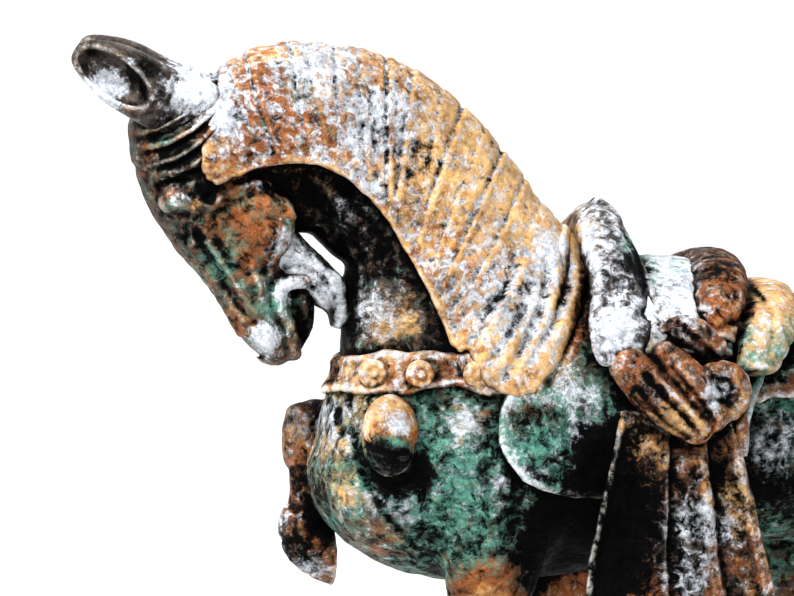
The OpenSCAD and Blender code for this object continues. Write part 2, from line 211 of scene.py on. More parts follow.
class Clay:
    """A signed distance on a grid. Where both is true, all that is done on the left is mirrored."""

    def __init__(self, low, high, step, both=True):
        self.low = np.asarray(low, float)
        self.step = step
        self.both = both
        self.axes = [np.arange(a, b + step, step, dtype=np.float32) for a, b in zip(low, high)]
        self.d = np.full([len(a) for a in self.axes], FAR, np.float32)

    def window(self, low=None, high=None):
        """The slices of the grid that a box touches, and the coordinates there."""
        cut = []
        for i, axis in enumerate(self.axes):
            lo = axis[0] if low is None else low[i]
            hi = axis[-1] if high is None else high[i]
            if self.both and i == 1 and low is not None:
                hi = max(abs(lo), abs(hi))
                lo = -hi
            cut.append(slice(np.searchsorted(axis, lo), np.searchsorted(axis, hi, "right")))
        x, y, z = (axis[c] for axis, c in zip(self.axes, cut))
        if self.both:
            y = -np.abs(y)
        return tuple(cut), (x[:, None, None], y[None, :, None], z[None, None, :])

    def near(self, form, margin):
        distance, low, high = form
        cut, coords = self.window(low - margin, high + margin)
        return cut, distance(*coords).astype(np.float32)

    def add(self, form, blend=0.0):
        cut, d = self.near(form, blend + 4 * self.step)
        self.d[cut] = soft_min(self.d[cut], d, blend)
        return self

    def cut(self, form, blend=0.0):
        cut, d = self.near(form, blend + 4 * self.step)
        self.d[cut] = soft_max(self.d[cut], -d, blend)
        return self

    def merge(self, other, blend=0.0, grow=0.0):
        self.d = soft_min(self.d, other.resampled(self) - grow, blend)
        return self

    def minus(self, other, blend=0.0, grow=0.0):
        self.d = soft_max(self.d, grow - other.resampled(self), blend)
        return self

    def keep(self, distance, blend=0.0):
        """Keeps what lies inside a field of distances."""
        self.d = soft_max(self.d, distance, blend)
        return self

    def all(self):
        return self.window()[1]

    def resampled(self, grid):
        """This field on another clay's grid, by cubic interpolation along one axis at a time."""
        field = self.d
        for i in range(3):
            at = (grid.axes[i] - self.low[i]) / self.step
            beyond = (at < 0) | (at > field.shape[i] - 1)
            base = np.clip(np.floor(at).astype(int), 1, field.shape[i] - 3)
            t = np.clip(at - base, 0, 1)
            weights = (
                -0.5 * t + t**2 - 0.5 * t**3,
                1 - 2.5 * t**2 + 1.5 * t**3,
                0.5 * t + 2 * t**2 - 1.5 * t**3,
                -0.5 * t**2 + 0.5 * t**3,
            )
            shape = [1, 1, 1]
            shape[i] = -1
            field = sum(
                np.take(field, base + k - 1, axis=i) * w.reshape(shape).astype(np.float32)
                for k, w in enumerate(weights)
            )
            edge = [slice(None)] * 3
            edge[i] = beyond
            field[tuple(edge)] = FAR
        return field

    def stroke(self, points, width, depth, steps=4, inner=0.0, outer=99.0):
        """Draws on both flanks in the side drawing. A positive depth is a groove, a negative one a
        ridge; width and depth may be one number or one for each point. It reaches only clay whose
        distance from the middle plane is between inner and outer."""
        n = len(points)
        width, depth = np.broadcast_to(width, n), np.broadcast_to(depth, n)
        rows = spline([[*p, w, h] for p, w, h in zip(points, width, depth)], steps)
        margin = 2.2 * width.max()
        low, high = rows[:, :2].min(0) - margin, rows[:, :2].max(0) + margin
        cut, (x, y, z) = self.window((low[0] - outer * 0.22, -outer, low[1]),
                                     (high[0] + 3, outer, high[1]))
        d, along = nearest_on(rows[:, :2], (drawn(x, y), z))
        ticks = np.linspace(0, 1, len(rows))
        w, h = np.interp(along, ticks, rows[:, 2]), np.interp(along, ticks, rows[:, 3])
        side = np.clip((np.abs(y) - inner) / 3 + 1, 0, 1)
        self.d[cut] += (h * np.exp(-((d / w) ** 2)) * side).astype(np.float32)
        return self

    def press(self, centre, radii, depth, tilt=0.0):
        """Presses a shallow dish into both flanks, or raises a swelling where depth is negative."""
        reach = 2.2 * max(radii)
        cut, (x, y, z) = self.window((centre[0] - reach - 15, -99, centre[1] - reach),
                                     (centre[0] + reach + 4, 99, centre[1] + reach))
        a = math.radians(tilt)
        u, v = drawn(x, y) - centre[0], z - centre[1]
        p, q = u * math.cos(a) + v * math.sin(a), v * math.cos(a) - u * math.sin(a)
        self.d[cut] += (depth * np.exp(-((p / radii[0]) ** 2 + (q / radii[1]) ** 2))).astype(np.float32)
        return self

    def skin(self):
        """Vertices and quads of the surface, closed and facing outwards."""
        d = self.d
        for i in range(3):
            edge = [slice(None)] * 3
            for side in (0, -1):
                edge[i] = side
                d[tuple(edge)] = np.maximum(d[tuple(edge)], self.step)
        grid = openvdb.FloatGrid(FAR)
        grid.copyFromArray(d)
        points, quads = grid.convertToQuads(0.0)
        points = points * self.step + self.low
        corner = points[quads]
        normal = np.cross(corner[:, 2] - corner[:, 0], corner[:, 3] - corner[:, 1])
        if (normal * corner.mean(1)).sum() < 0:
            quads = quads[:, ::-1]
        return points, quads


# ---------------------------------------------------------------- skins

SIDE = 64                            # the lattice repeats after so many values, a power of two
LATTICE = np.random.default_rng(7).uniform(-1, 1, (SIDE,) * 3).astype(np.float32)
TURN = np.array([[0.36, 0.48, -0.8], [-0.8, 0.6, 0.0], [0.48, 0.64, 0.6]])  # a rotation


def value_noise(points, size, shift=0.0):
    """Smooth random values from -1 to 1, with bumps about size mm wide."""
    at = points / size + shift
    base = np.floor(at).astype(int)
    t = at - base
    t = t * t * (3 - 2 * t)
    total = 0
    for corner in itertools.product((0, 1), repeat=3):
        index = (base + corner) & (SIDE - 1)
        weight = np.prod(np.where(corner, t, 1 - t), axis=1)
        total = total + weight * LATTICE[index[:, 0], index[:, 1], index[:, 2]]
    return total


def grain(points, sizes, heights):
    """Rough casting texture: noise of several sizes, each turned another way."""
    total = 0
    for size, height in zip(sizes, heights):
        points = points @ TURN
        total = total + height * value_noise(points, size)
    return total


def spread(values, quads, count):
    """Sums a value of each quad over the quad's corners."""
    return sum(np.bincount(quads[:, k], values, count) for k in range(4))


def normals_of(points, quads):
    corner = points[quads]
    face = np.cross(corner[:, 2] - corner[:, 0], corner[:, 3] - corner[:, 1])
    normal = np.stack([spread(face[:, i], quads, len(points)) for i in range(3)], 1)
    return normal / (np.linalg.norm(normal, axis=1, keepdims=True) + 1e-12)


def relaxed(points, quads, rounds):
    """The points after each has moved to the mean of its quads, so many times."""
    share = 1 / np.maximum(spread(np.ones(len(quads)), quads, len(points)), 1)
    for _ in range(rounds):
        middle = points[quads].mean(1)
        points = np.stack([spread(middle[:, i], quads, len(points)) * share for i in range(3)], 1)
    return points


def without_crumbs(points, quads, smallest=150):
    """Drops loose scraps of fewer quads than the smallest wanted part."""
    label = np.arange(len(points))
    while True:
        low = label[quads].min(1)
        new = label.copy()
        for k in range(4):
            np.minimum.at(new, quads[:, k], low)
        new = new[new]
        if (new == label).all():
            break
        label = new
    size = np.bincount(label[quads[:, 0]], minlength=len(points))
    quads = quads[size[label[quads[:, 0]]] >= smallest]
    used, quads = np.unique(quads, return_inverse=True)
    return points[used], quads.reshape(-1, 4)


# ---------------------------------------------------------------- patina
# How much of each layer a surface carries, from 0 to 1, before the places below add to it.

# The last and darkest layer is partly real soot and partly painted shade.
LAYERS = ("rust", "verdigris", "ochre", "chalk", "soot_and_shade")
COATS = {
    "body": (0.32, 0.54, 0.18, 0.30, 0.48),
    # The neck's high soot share is partly painted shade, for the neck lying in shadow below the mane.
    "neck": (0.25, 0.30, 0.12, 0.26, 0.66),
    "head": (0.40, 0.34, 0.12, 0.24, 0.46),
    "jaw": (0.16, 0.34, 0.16, 0.62, 0.38),
    "ear": (0.14, 0.10, 0.04, 0.22, 0.50),
    "mane": (0.62, 0.24, 0.46, 0.42, 0.30),
    "leg": (0.52, 0.24, 0.22, 0.26, 0.46),
    "blanket": (0.30, 0.56, 0.14, 0.42, 0.34),
    "cover": (0.14, 0.08, 0.06, 0.42, 0.50),
    "seat": (0.40, 0.46, 0.30, 0.52, 0.26),
    "roll": (0.62, 0.40, 0.40, 0.36, 0.26),
    "cloth": (0.48, 0.08, 0.24, 0.30, 0.48),
    "knot": (0.62, 0.10, 0.22, 0.30, 0.50),
    "strap": (0.66, 0.24, 0.26, 0.42, 0.42),
    "boss": (0.72, 0.26, 0.40, 0.34, 0.30),
    "raised": (0.52, 0.26, 0.20, 0.28, 0.48),
}
LEG_COAT_TOP, BODY_COAT_LOW = 92, 120  # heights between which a leg or the tail turns
# from its own coat to the body's
# Places where a layer is thicker or thinner: layer, u, z, radius, amount
PLACES = (
    # Ear, poll and temple
    # In the ear, the pale chalk in the bowl is partly a painted pool of light on its lower inside, and
    # the soot on the upper inner rim is painted shade.
    ("soot_and_shade", -169, 306, 9, -1.0), ("chalk", -170, 305, 7, 0.9), ("chalk", -136, 304, 12, 0.6),
    ("soot_and_shade", -136, 304, 10, -0.25), ("soot_and_shade", -158, 311, 5, 0.6), ("soot_and_shade", -142, 274, 10, 0.3),
    ("soot_and_shade", -133, 264, 4, 0.6), ("chalk", -143, 264, 5, 0.18), ("soot_and_shade", -143, 264, 6, -0.15),
    ("ochre", -137, 262, 3, 0.5), ("soot_and_shade", -137, 250, 7, 0.3), ("soot_and_shade", -145, 284, 12, 0.05),
    ("chalk", -126, 292, 6, 0.3),
    # Cheek, bridge and muzzle
    ("rust", -117, 252, 15, 0.6), ("soot_and_shade", -119, 252, 12, -0.02), ("chalk", -119, 252, 12, -0.25),
    ("verdigris", -129, 238, 8, 0.4), ("soot_and_shade", -127, 240, 7, 0.1), ("chalk", -111, 210, 6, 0.6),
    ("soot_and_shade", -111, 210, 6, -0.4), ("rust", -122, 218, 7, 0.4), ("soot_and_shade", -94, 213, 5, 1.0),
    ("chalk", -106, 246, 7, 0.4), ("chalk", -112, 268, 6, 0.4), ("chalk", -103, 229, 7, 0.55),
    ("soot_and_shade", -105, 225, 8, -0.2), ("rust", -90, 219, 4, 0.5), ("soot_and_shade", -93, 228, 6, 0.15),
    ("verdigris", -108, 222, 8, 0.3),
    # Neck
    ("soot_and_shade", -64, 216, 13, -0.5), ("ochre", -62, 214, 12, 0.5), ("chalk", -70, 220, 12, 0.3),
    ("chalk", -80, 264, 14, 0.2),
    # Mane: brown in front, slate in the middle, yellow on the crest, streaked pale on the locks
    ("ochre", -114, 296, 18, -0.35), ("soot_and_shade", -114, 296, 16, 0.1), ("rust", -110, 280, 14, 0.15),
    ("rust", -95, 272, 14, 0.3), ("verdigris", -98, 308, 9, 0.3), ("chalk", -70, 292, 12, 0.35),
    ("ochre", -72, 292, 12, -0.3), ("soot_and_shade", -70, 290, 12, 0.12), ("ochre", -30, 282, 26, 0.35),
    ("ochre", -8, 258, 16, 0.4), ("rust", -45, 250, 20, 0.25), ("verdigris", -58, 262, 10, 0.25),
    ("soot_and_shade", -56, 274, 12, 0.2), ("chalk", -92, 314, 12, 0.3), ("chalk", -15, 222, 20, 0.22),
    ("soot_and_shade", -20, 226, 10, 0.2), ("ochre", -22, 204, 12, 0.2),
    # Chest, shoulder and the standing foreleg
    ("verdigris", -50, 150, 24, 0.3), ("verdigris", -76, 160, 8, 0.3), ("rust", -68, 190, 16, 0.2),
    ("ochre", -78, 190, 14, 0.4), ("chalk", -86, 178, 10, 0.3), ("ochre", -86, 170, 8, 0.4),
    ("chalk", -18, 158, 9, 0.35), ("soot_and_shade", -50, 132, 14, 0.1), ("chalk", -62, 152, 14, 0.25),
    ("soot_and_shade", -74, 152, 14, -0.12), ("chalk", -36, 178, 8, 0.3), ("ochre", -36, 180, 7, 0.3),
    ("soot_and_shade", -36, 178, 8, -0.1), ("rust", -31, 181, 5, 0.4), ("ochre", -82, 152, 9, 0.4),
    ("rust", -66, 134, 11, 0.4), ("verdigris", -68, 135, 11, -0.3), ("ochre", -28, 110, 8, 0.35),
    ("rust", -28, 112, 14, 0.8), ("soot_and_shade", -28, 114, 10, -0.2), ("chalk", -28, 111, 14, -0.5),
    # The two heavy soot places at the end of this line paint the shadow under the belly, behind the
    # foreleg.
    ("verdigris", -28, 111, 13, -0.6), ("soot_and_shade", 3, 136, 14, 1.4), ("soot_and_shade", 6, 118, 14, 1.4),
    ("soot_and_shade", -72, 170, 5, 0.4), ("soot_and_shade", -52, 160, 6, 0.2),
    # The bells: orange above, dark green below, with painted shade blackening the underside and a painted
    # highlight of chalk above the middle
    ("soot_and_shade", -63, 162, 9, 1.0), ("verdigris", -66, 166, 8, 0.6), ("ochre", -64, 166, 8, -0.7),
    ("chalk", -64, 164, 9, -0.7), ("chalk", -62, 178, 4, 0.4),
    # Blanket: pale folds by the mane, brown then green on the flap
    ("chalk", -4, 216, 14, 0.05), ("ochre", -6, 214, 16, 0.6), ("verdigris", -2, 216, 15, -0.5),
    ("rust", -6, 214, 16, 0.5), ("rust", -13, 183, 9, 0.5), ("soot_and_shade", -12, 182, 9, 0.25),
    ("verdigris", -8, 165, 13, 0.35), ("soot_and_shade", -10, 166, 12, 0.16), ("chalk", -10, 166, 12, -0.15),
    # The first two soot places on this line paint the shadow beside the flap, under the cover's edge.
    ("soot_and_shade", 10, 158, 8, 0.6), ("soot_and_shade", 14, 172, 9, 0.6), ("chalk", 8, 174, 4, 0.6),
    ("chalk", 10, 190, 9, 0.12), ("ochre", 4, 246, 10, 0.7), ("soot_and_shade", 4, 246, 11, -0.6),
    ("chalk", 4, 242, 11, 0.3), ("verdigris", 4, 246, 11, -0.6),
    # Saddle
    ("soot_and_shade", 18, 250, 10, 0.04), ("chalk", 16, 248, 12, 0.05), ("soot_and_shade", 30, 238, 6, 0.3),
    ("soot_and_shade", 10, 240, 5, 0.3), ("soot_and_shade", 8, 200, 12, -0.15), ("chalk", 8, 200, 12, 0.0),
    ("chalk", 21, 215, 8, 0.34), ("soot_and_shade", 21, 215, 8, -0.26), ("rust", 22, 250, 8, 0.2),
    ("verdigris", 28, 244, 7, 0.8), ("verdigris", 38, 240, 9, 0.5), ("rust", 46, 230, 12, -0.25),
    ("chalk", 42, 228, 12, 0.12), ("verdigris", 36, 240, 6, 0.4), ("soot_and_shade", 60, 236, 9, 0.16),
    ("rust", 64, 224, 9, 0.4), ("rust", 80, 222, 9, 0.5), ("ochre", 80, 222, 9, 0.3),
    ("verdigris", 80, 222, 8, -0.2), ("chalk", 48, 220, 5, 0.3), ("soot_and_shade", 82, 176, 10, 0.1),
    ("chalk", 82, 172, 12, 0.2), ("chalk", 59, 191, 5, 0.6), ("soot_and_shade", 44, 214, 6, 0.3),
    ("soot_and_shade", 32, 190, 7, 0.25), ("ochre", 42, 184, 6, 0.3), ("ochre", 64, 186, 6, 0.4),
    ("ochre", 50, 178, 6, 0.4),
    # Hanging cloth and hindquarters
    ("soot_and_shade", 25, 150, 18, 0.35), ("soot_and_shade", 24, 120, 18, 0.25), ("rust", 24, 110, 16, 0.45),
    ("soot_and_shade", 24, 106, 12, -0.3), ("rust", 26, 140, 14, -0.25), ("ochre", 26, 135, 18, -0.3),
    ("ochre", 30, 172, 8, 0.4), ("chalk", 46, 142, 8, 0.45), ("chalk", 47, 120, 8, 0.45),
    ("rust", 46, 134, 9, -0.4), ("ochre", 46, 134, 9, -0.3), ("chalk", 60, 140, 9, 0.3),
    ("ochre", 64, 150, 12, 0.35), ("soot_and_shade", 58, 160, 5, 0.4), ("verdigris", 84, 205, 16, 0.4),
    ("rust", 80, 190, 10, 0.3), ("chalk", 78, 165, 12, 0.2), ("soot_and_shade", 80, 150, 10, 0.3),
    # Raised leg
    ("chalk", -100, 138, 6, 0.4), ("chalk", -88, 120, 5, 0.5), ("rust", -100, 165, 14, 0.3),
    ("soot_and_shade", -92, 128, 8, 0.3), ("soot_and_shade", -92, 150, 8, 0.2),
)


def coat_of(points, coat):
    """The share of each layer at each point. A leg's coat turns into the body's towards its joint."""
    u, z = drawn(points[:, 0], points[:, 1]), points[:, 2]
    upper = "body" if coat == "leg" else coat
    rise = np.clip((z - LEG_COAT_TOP) / (BODY_COAT_LOW - LEG_COAT_TOP), 0, 1)
    pairs = zip(LAYERS, COATS[coat], COATS[upper])
    shares = {layer: share + (above - share) * rise for layer, share, above in pairs}
    for layer, at_u, at_z, radius, amount in PLACES:
        shares[layer] += amount * np.exp(-((u - at_u)**2 + (z - at_z)**2) / radius**2)
    return shares


class Tree:
    """Short names for the shader nodes of one material."""

    def __init__(self, name):
        self.material = bpy.data.materials.new(name)
        self.material.use_nodes = True
        self.nodes = self.material.node_tree.nodes
        self.nodes.clear()
        self.place = self.nodes.new("ShaderNodeTexCoord").outputs["Object"]

    def node(self, kind, links=None, **settings):
        made = self.nodes.new("ShaderNode" + kind)
        for key, value in settings.items():
            setattr(made, key, value)
        for key, value in (links or {}).items():
            if isinstance(value, bpy.types.NodeSocket):
                self.material.node_tree.links.new(value, made.inputs[key])
            else:
                made.inputs[key].default_value = value
        return made

    def maths(self, operation, a, b=0.0, c=0.0):
        return self.node("Math", {0: a, 1: b, 2: c}, operation=operation).outputs[0]

    def ramp(self, value, low, high, start=0.0, end=1.0, smooth=True):
        """Maps low..high to start..end and holds the ends."""
        kind = "SMOOTHSTEP" if smooth else "LINEAR"
        links = {"Value": value, "From Min": low, "From Max": high, "To Min": start, "To Max": end}
        return self.node("MapRange", links, interpolation_type=kind).outputs["Result"]

    def noise(self, size, detail=4.0, roughness=0.6, warp=0.3, stretch=(1, 1, 1), shift=0.0):
        """Noise from 0 to 1 with blotches about size mm wide, drawn out by stretch."""
        scale = [1 / (size * MM * s) for s in stretch]
        links = {"Vector": self.place, "Location": (shift,) * 3, "Scale": scale}
        place = self.node("Mapping", links).outputs[0]
        links = {"Vector": place, "Scale": 1.0, "Detail": detail, "Roughness": roughness,
                 "Distortion": warp}
        value = self.node("TexNoise", links).outputs["Fac"]
        return self.ramp(value, 0.28, 0.72, smooth=False)

    def mix(self, factor, a, b):
        made = self.node("Mix", data_type="RGBA")
        for socket, value in zip((made.inputs[0], made.inputs[6], made.inputs[7]), (factor, a, b)):
            if isinstance(value, bpy.types.NodeSocket):
                self.material.node_tree.links.new(value, socket)
            elif socket.type == "RGBA":
                socket.default_value = linear(value)
            else:
                socket.default_value = value
        return made.outputs[2]

    def share(self, name):
        return self.node("Attribute", attribute_name=name).outputs["Fac"]


def linear(colour):
    """A screen colour, 0 to 255, as the shader wants it."""
    return [((c / 255 + 0.055) / 1.055)**2.4 if c > 10 else c / 255 / 12.92 for c in colour] + [1.0]


# Each layer of the patina: its dark and its light tone, the size of its blotches in mm, how much
# it keeps to the raised places, and how soft its edges are
TONES = {
    "rust": ((48, 27, 15), (156, 92, 44), 7.0, 0.12, 0.26),
    "verdigris": ((12, 48, 36), (96, 154, 138), 8.0, 0.0, 0.26),
    "ochre": ((132, 88, 46), (212, 178, 124), 6.0, 0.20, 0.26),
    "chalk": ((84, 90, 104), (216, 220, 224), 4.0, 0.12, 0.15),
    # The darkest layer: partly soot, partly painted shade in gaps, hollows and shadowed places.
    "soot_and_shade": ((3, 3, 4), (16, 15, 15), 4.5, -0.26, 0.20),
}
BARE = ((26, 23, 22), (86, 76, 70))   # the bronze itself, dark and light
RIDGE_WEAR_AND_HIGHLIGHT, HOLLOW_GRIME_AND_SHADE = (214, 210, 202), (12, 10, 9)  # on the ridges, wear and painted highlight; in the hollows, grime and painted shade
# Sheltered places get painted shade: how closed in a point is by the castings round it takes the pale
# layers away and adds the dark one.
GAP_SHADE = {"ochre": -0.35, "chalk": -0.35, "soot_and_shade": 0.42}  # what a sheltered place adds to a share


def layered(t, texture, relief, filled, brushed):
    """Lays the layers over the bare bronze, the last a dark one that is partly soot and partly painted
    shade. Gives colour, metallic, roughness and that dark layer's cover.
    """
    shelter = t.share("shelter")
    colour = t.mix(t.noise(4.0), *BARE)
    metal, rough = 0.75, 0.40
    for order, (layer, (dark, light, size, keeps, soft)) in enumerate(TONES.items()):
        patch = t.noise(size, 6, 0.72, 0.5, shift=17.3 * (order + 1))
        speck = t.maths("MULTIPLY_ADD", texture, 0.34, t.maths("MULTIPLY", patch, 0.66))
        if layer in ("verdigris", "chalk"):
            keeps -= filled
        edge = t.maths("MULTIPLY_ADD", relief, keeps, speck)
        share = t.share(layer)
        if layer in GAP_SHADE:
            share = t.maths("MULTIPLY_ADD", shelter, GAP_SHADE[layer], share)
        level = t.maths("SUBTRACT", 1.0, share)
        cover = t.ramp(t.maths("SUBTRACT", edge, level), -soft, soft)
        tone = t.mix(t.noise(size * 0.6, 6, 0.75, 0.2, brushed, 5.1 * (order + 2)), dark, light)
        colour = t.mix(cover, colour, tone)
        if layer != "soot_and_shade":
            metal = t.maths("MULTIPLY", metal, t.maths("MULTIPLY_ADD", cover, -0.9, 1.0))
            rough = t.maths("MULTIPLY_ADD", cover, 0.12, rough)
    return colour, metal, rough, cover


def wear_and_painted_light(t, colour, texture, relief, filled):
    """Pales the ridges (wear and painted highlight) and darkens the hollows (grime and painted shade),
    both in patches, and makes the rest uneven.
    """
    patchy = t.ramp(t.noise(6.0, 5, 0.7, shift=31.0), 0.35, 0.75)
    lifted = t.maths("MULTIPLY_ADD", texture, 0.7, relief)
    ridge_wear_and_highlight = t.maths("MULTIPLY", patchy, t.ramp(lifted, 0.6, 1.4, 0.0, 0.5))
    colour = t.mix(ridge_wear_and_highlight, colour, RIDGE_WEAR_AND_HIGHLIGHT)
    hollow = t.ramp(lifted, 0.12, -0.5, 0.0, 0.8 - 1.8 * filled)
    hollow_grime_and_shade = t.maths("MULTIPLY", t.ramp(patchy, 0.0, 1.0, 1.0, 0.6), hollow)
    colour = t.mix(hollow_grime_and_shade, colour, HOLLOW_GRIME_AND_SHADE)
    value = t.ramp(t.noise(18.0, 4, 0.6, shift=9.1), 0.15, 0.85, 0.70, 1.06)
    return t.node("HueSaturation", {"Color": colour, "Value": value}).outputs[0]


def patina(name, bump=0.5, filled=0.0, brushed=(1, 1, 1)):
    """Old bronze under layers of coloured corrosion, each in patches that follow the vertex shares, with
    shade painted into gaps and hollows and highlight painted on ridges.
    Where filled is above 0, the green and the chalk lie in the grooves."""
    t = Tree(name)
    relief = t.share("relief")
    fine = t.noise(0.9, 5, 0.7, stretch=brushed)
    medium = t.noise(2.4, 6, 0.7, 0.4, brushed, 3.3)
    texture = t.maths("MULTIPLY_ADD", medium, 0.5, t.maths("MULTIPLY", fine, 0.5))
    colour, metal, rough, soot_and_shade = layered(t, texture, relief, filled, brushed)
    height = t.maths("MULTIPLY_ADD", medium, 0.9, fine)
    links = {"Height": height, "Strength": bump, "Distance": 0.5 * MM}
    normal = t.node("Bump", links).outputs[0]
    links = {
        "Base Color": wear_and_painted_light(t, colour, texture, relief, filled), "Metallic": metal,
        "Roughness": t.maths("MULTIPLY_ADD", fine, 0.18, rough), "Normal": normal,
        "Specular IOR Level": t.maths("MULTIPLY_ADD", soot_and_shade, -0.16, 0.18),
    }
    shader = t.node("BsdfPrincipled", links)
    t.node("OutputMaterial", {"Surface": shader.outputs[0]})
    return t.material


def brass():
    """Turned brass, dulled and lightly scratched, for the pins, studs and screws."""
    t = Tree("inner_brass")
    cloud = t.noise(5.0)
    scratch = t.noise(0.5, 3, 0.6, 0.0, (1, 1, 12))
    colour = t.mix(cloud, (120, 88, 42), (196, 158, 88))
    colour = t.mix(t.ramp(scratch, 0.7, 0.95), colour, (70, 52, 30))
    rough = t.maths("MULTIPLY_ADD", cloud, 0.25, 0.28)
    normal = t.node("Bump", {"Height": scratch, "Strength": 0.25, "Distance": 0.1 * MM}).outputs[0]
    links = {"Base Color": colour, "Metallic": 0.9, "Roughness": rough, "Normal": normal}
    shader = t.node("BsdfPrincipled", links)
    t.node("OutputMaterial", {"Surface": shader.outputs[0]})
    return t.material


# ---------------------------------------------------------------- pieces

WHOLE = Clay((-200, -70, -6), (196, 70, 330), 2.5, both=False)      # the castings, for their shelter, which paints shade into gaps
PIECES = []
# Relief is felt at two sizes: rounds of smoothing for a 1 mm step, fewest rounds, usual height in mm
RELIEF_SIZES = ((3, 2, 0.3), (14, 4, 1.4))
SHELTER_REACH = (5.0, 10.0, 18.0)    # how far from a point its neighbours still shelter it


def grid_for(node, step, both=False, room=5.0):
    """Empty clay that covers a CAD node."""
    low, high = (np.array(corner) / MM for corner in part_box(node))
    return Clay(low - room, high + room, step * DRAFT, both)


def casting(name, clay, nodes, slot, coat, rough=1.0, mirror=False, shift=(0, 0, 0), cracks=0.0):
    """Skins and weathers one piece."""
    WHOLE.merge(clay)
    points, quads = without_crumbs(*clay.skin())
    if mirror:
        points = points * (1, -1, 1) + shift
        quads = quads[:, ::-1]
    normal = normals_of(points, quads)
    height = grain(points, (11, 4.5, 2.1), (0.22 * rough, 0.16 * rough, 0.11 * rough))
    if cracks:
        layered = np.minimum(0, value_noise(points / (3.5, 3.5, 1.0), 1.9) + 0.25)
        height = height + cracks * layered
    points = points + normal * height[:, None]
    PIECES.append((name, points, quads, nodes, slot, coat, clay.step))


def shelter_of(points, normal):
    """How closed in each point is: 0 in the open, 1 deep in a gap."""
    closed = 0
    for far in SHELTER_REACH:
        at = points + normal * far
        index = ((at - WHOLE.low) / WHOLE.step).round().astype(int)
        index = np.clip(index, 0, np.array(WHOLE.d.shape) - 1)
        gap = WHOLE.d[index[:, 0], index[:, 1], index[:, 2]]
        closed = closed + np.clip(1 - gap / far, 0, 1.3) / len(SHELTER_REACH)
    return np.clip(closed * 1.25 - 0.25, 0, 1)


def relief_of(points, quads, normal, step):
    """How far each point stands out of what is round it: -1 deep in, 1 far out."""
    bumps, smooth = 0, points
    for rounds, fewest, height in RELIEF_SIZES:
        smooth = relaxed(smooth, quads, max(fewest, round(rounds / step**2)))
        bumps = bumps + ((points - smooth) * normal).sum(1) / height
    return np.tanh(bumps * 0.5)


def placed(materials):
    """Makes the Blender object of each piece, with its shares of patina at its vertices."""
    for name, points, quads, nodes, slot, coat, step in PIECES:
        normal = normals_of(points, quads)
        shares = coat_of(points, coat)
        shares["relief"] = relief_of(points, quads, normal, step)
        # How closed in each point is, which paints shade into the gaps
        shares["shelter"] = shelter_of(points, normal)
        mesh = bpy.data.meshes.new(name)
        mesh.from_pydata(points * MM, [], quads)
        mesh.polygons.foreach_set("use_smooth", np.ones(len(quads), bool))
        for key, value in shares.items():
            mesh.attributes.new(key, "FLOAT", "POINT").data.foreach_set("value", value.astype(np.float32))
        piece = bpy.data.objects.new(name, mesh)
        bpy.context.scene.collection.objects.link(piece)
        mesh.materials.append(materials[slot])
        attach(piece, "root")
        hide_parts(*nodes)


# ---------------------------------------------------------------- the horse
# Stations of the lofts: x, y, z, half width across the horse, half depth in the side view

TORSO = [
    (-88, 0, 174, 5, 5), (-84, 0, 173, 20, 20), (-75, 0, 170, 31, 31), (-60, 0, 166, 39, 42),
    (-40, 0, 165, 43, 49), (-14, 0, 170, 42, 54), (14, 0, 172, 43, 53), (42, 0, 172, 44, 50),
    (72, 0, 174, 43, 48), (98, 0, 177, 42, 47), (122, 0, 180, 40, 46), (144, 0, 179, 35, 41),
    (160, 0, 176, 27, 32), (170, 0, 173, 17, 20), (175, 0, 171, 5, 6),
]
NECK = [
    (-18, 0, 186, 36, 50), (-37, 0, 220, 28, 48), (-46, 0, 248, 22, 37), (-66, 0, 271, 20, 36),
    (-87, 0, 285, 19, 32), (-111, 0, 289, 18, 27), (-133, 0, 284, 15, 21),
]
HEAD = [
    (-150, 0, 303, 7, 7), (-146, 0, 293, 15, 17), (-139.5, 0, 277, 19, 22.5), (-131.5, 0, 261, 20, 23),
    (-123.5, 0, 246, 18, 19), (-117.5, 0, 231, 14, 15), (-112, 0, 217, 12, 12.5),
    (-107.5, 0, 207.5, 11, 10), (-104, 0, 203, 7, 5.5),
]
JAW = [
    (-112, 0, 247, 13, 11), (-102, 0, 239, 12, 9), (-93, 0, 233, 11, 7), (-86, 0, 226, 9.5, 5.5),
    (-83.5, 0, 219, 8, 4.5), (-84.5, 0, 214, 6, 2.5),
]
EAR = [
    (-142, -10, 293, 6, 11), (-153, -13, 299.5, 7.5, 12), (-163, -15.5, 305, 8, 12),
    (-171, -16.5, 309.5, 7.5, 11.5), (-178, -17, 313.5, 6.5, 9), (-183.5, -17, 316.5, 5, 6),
    (-186, -17, 318, 2.5, 3),
]
FORELEG = [
    (-18, -26, 176, 13, 26), (-22, -28, 155, 15, 26), (-29, -28, 134, 14, 21), (-31, -26, 112, 12, 16),
    (-34, -23, 92, 10, 11), (-36, -21, 75, 10.5, 11.5), (-37, -19, 60, 8, 8.5), (-37, -18, 44, 6.5, 7.5),
    (-38, -17, 28, 8.5, 9.5), (-42, -16, 18, 7.5, 8), (-45, -16, 9, 11, 12), (-47, -16, -2, 13.5, 15),
]
LEFT_HIND = [
    (128, -20, 192, 16, 32), (126, -27, 168, 17, 34), (122, -30, 145, 15, 27), (128, -30, 124, 12, 18),
    (139, -29, 106, 9.5, 13), (149, -28, 91, 8.5, 11.5), (152, -28, 77, 8, 9.5), (151, -28, 58, 6.5, 8),
    (149, -28, 42, 6.5, 7.5), (147, -28, 28, 8.5, 9.5), (142, -28, 18, 7.5, 8), (139, -28, 9, 11, 12),
    (136, -28, -2, 13.5, 15),
]
RIGHT_HIND_X = (122, 116, 107, 105, 109, 114, 114, 109, 104, 100, 95, 92, 89)
RIGHT_HIND = [(x, -y, *rest) for x, (_, y, *rest) in zip(RIGHT_HIND_X, LEFT_HIND)]
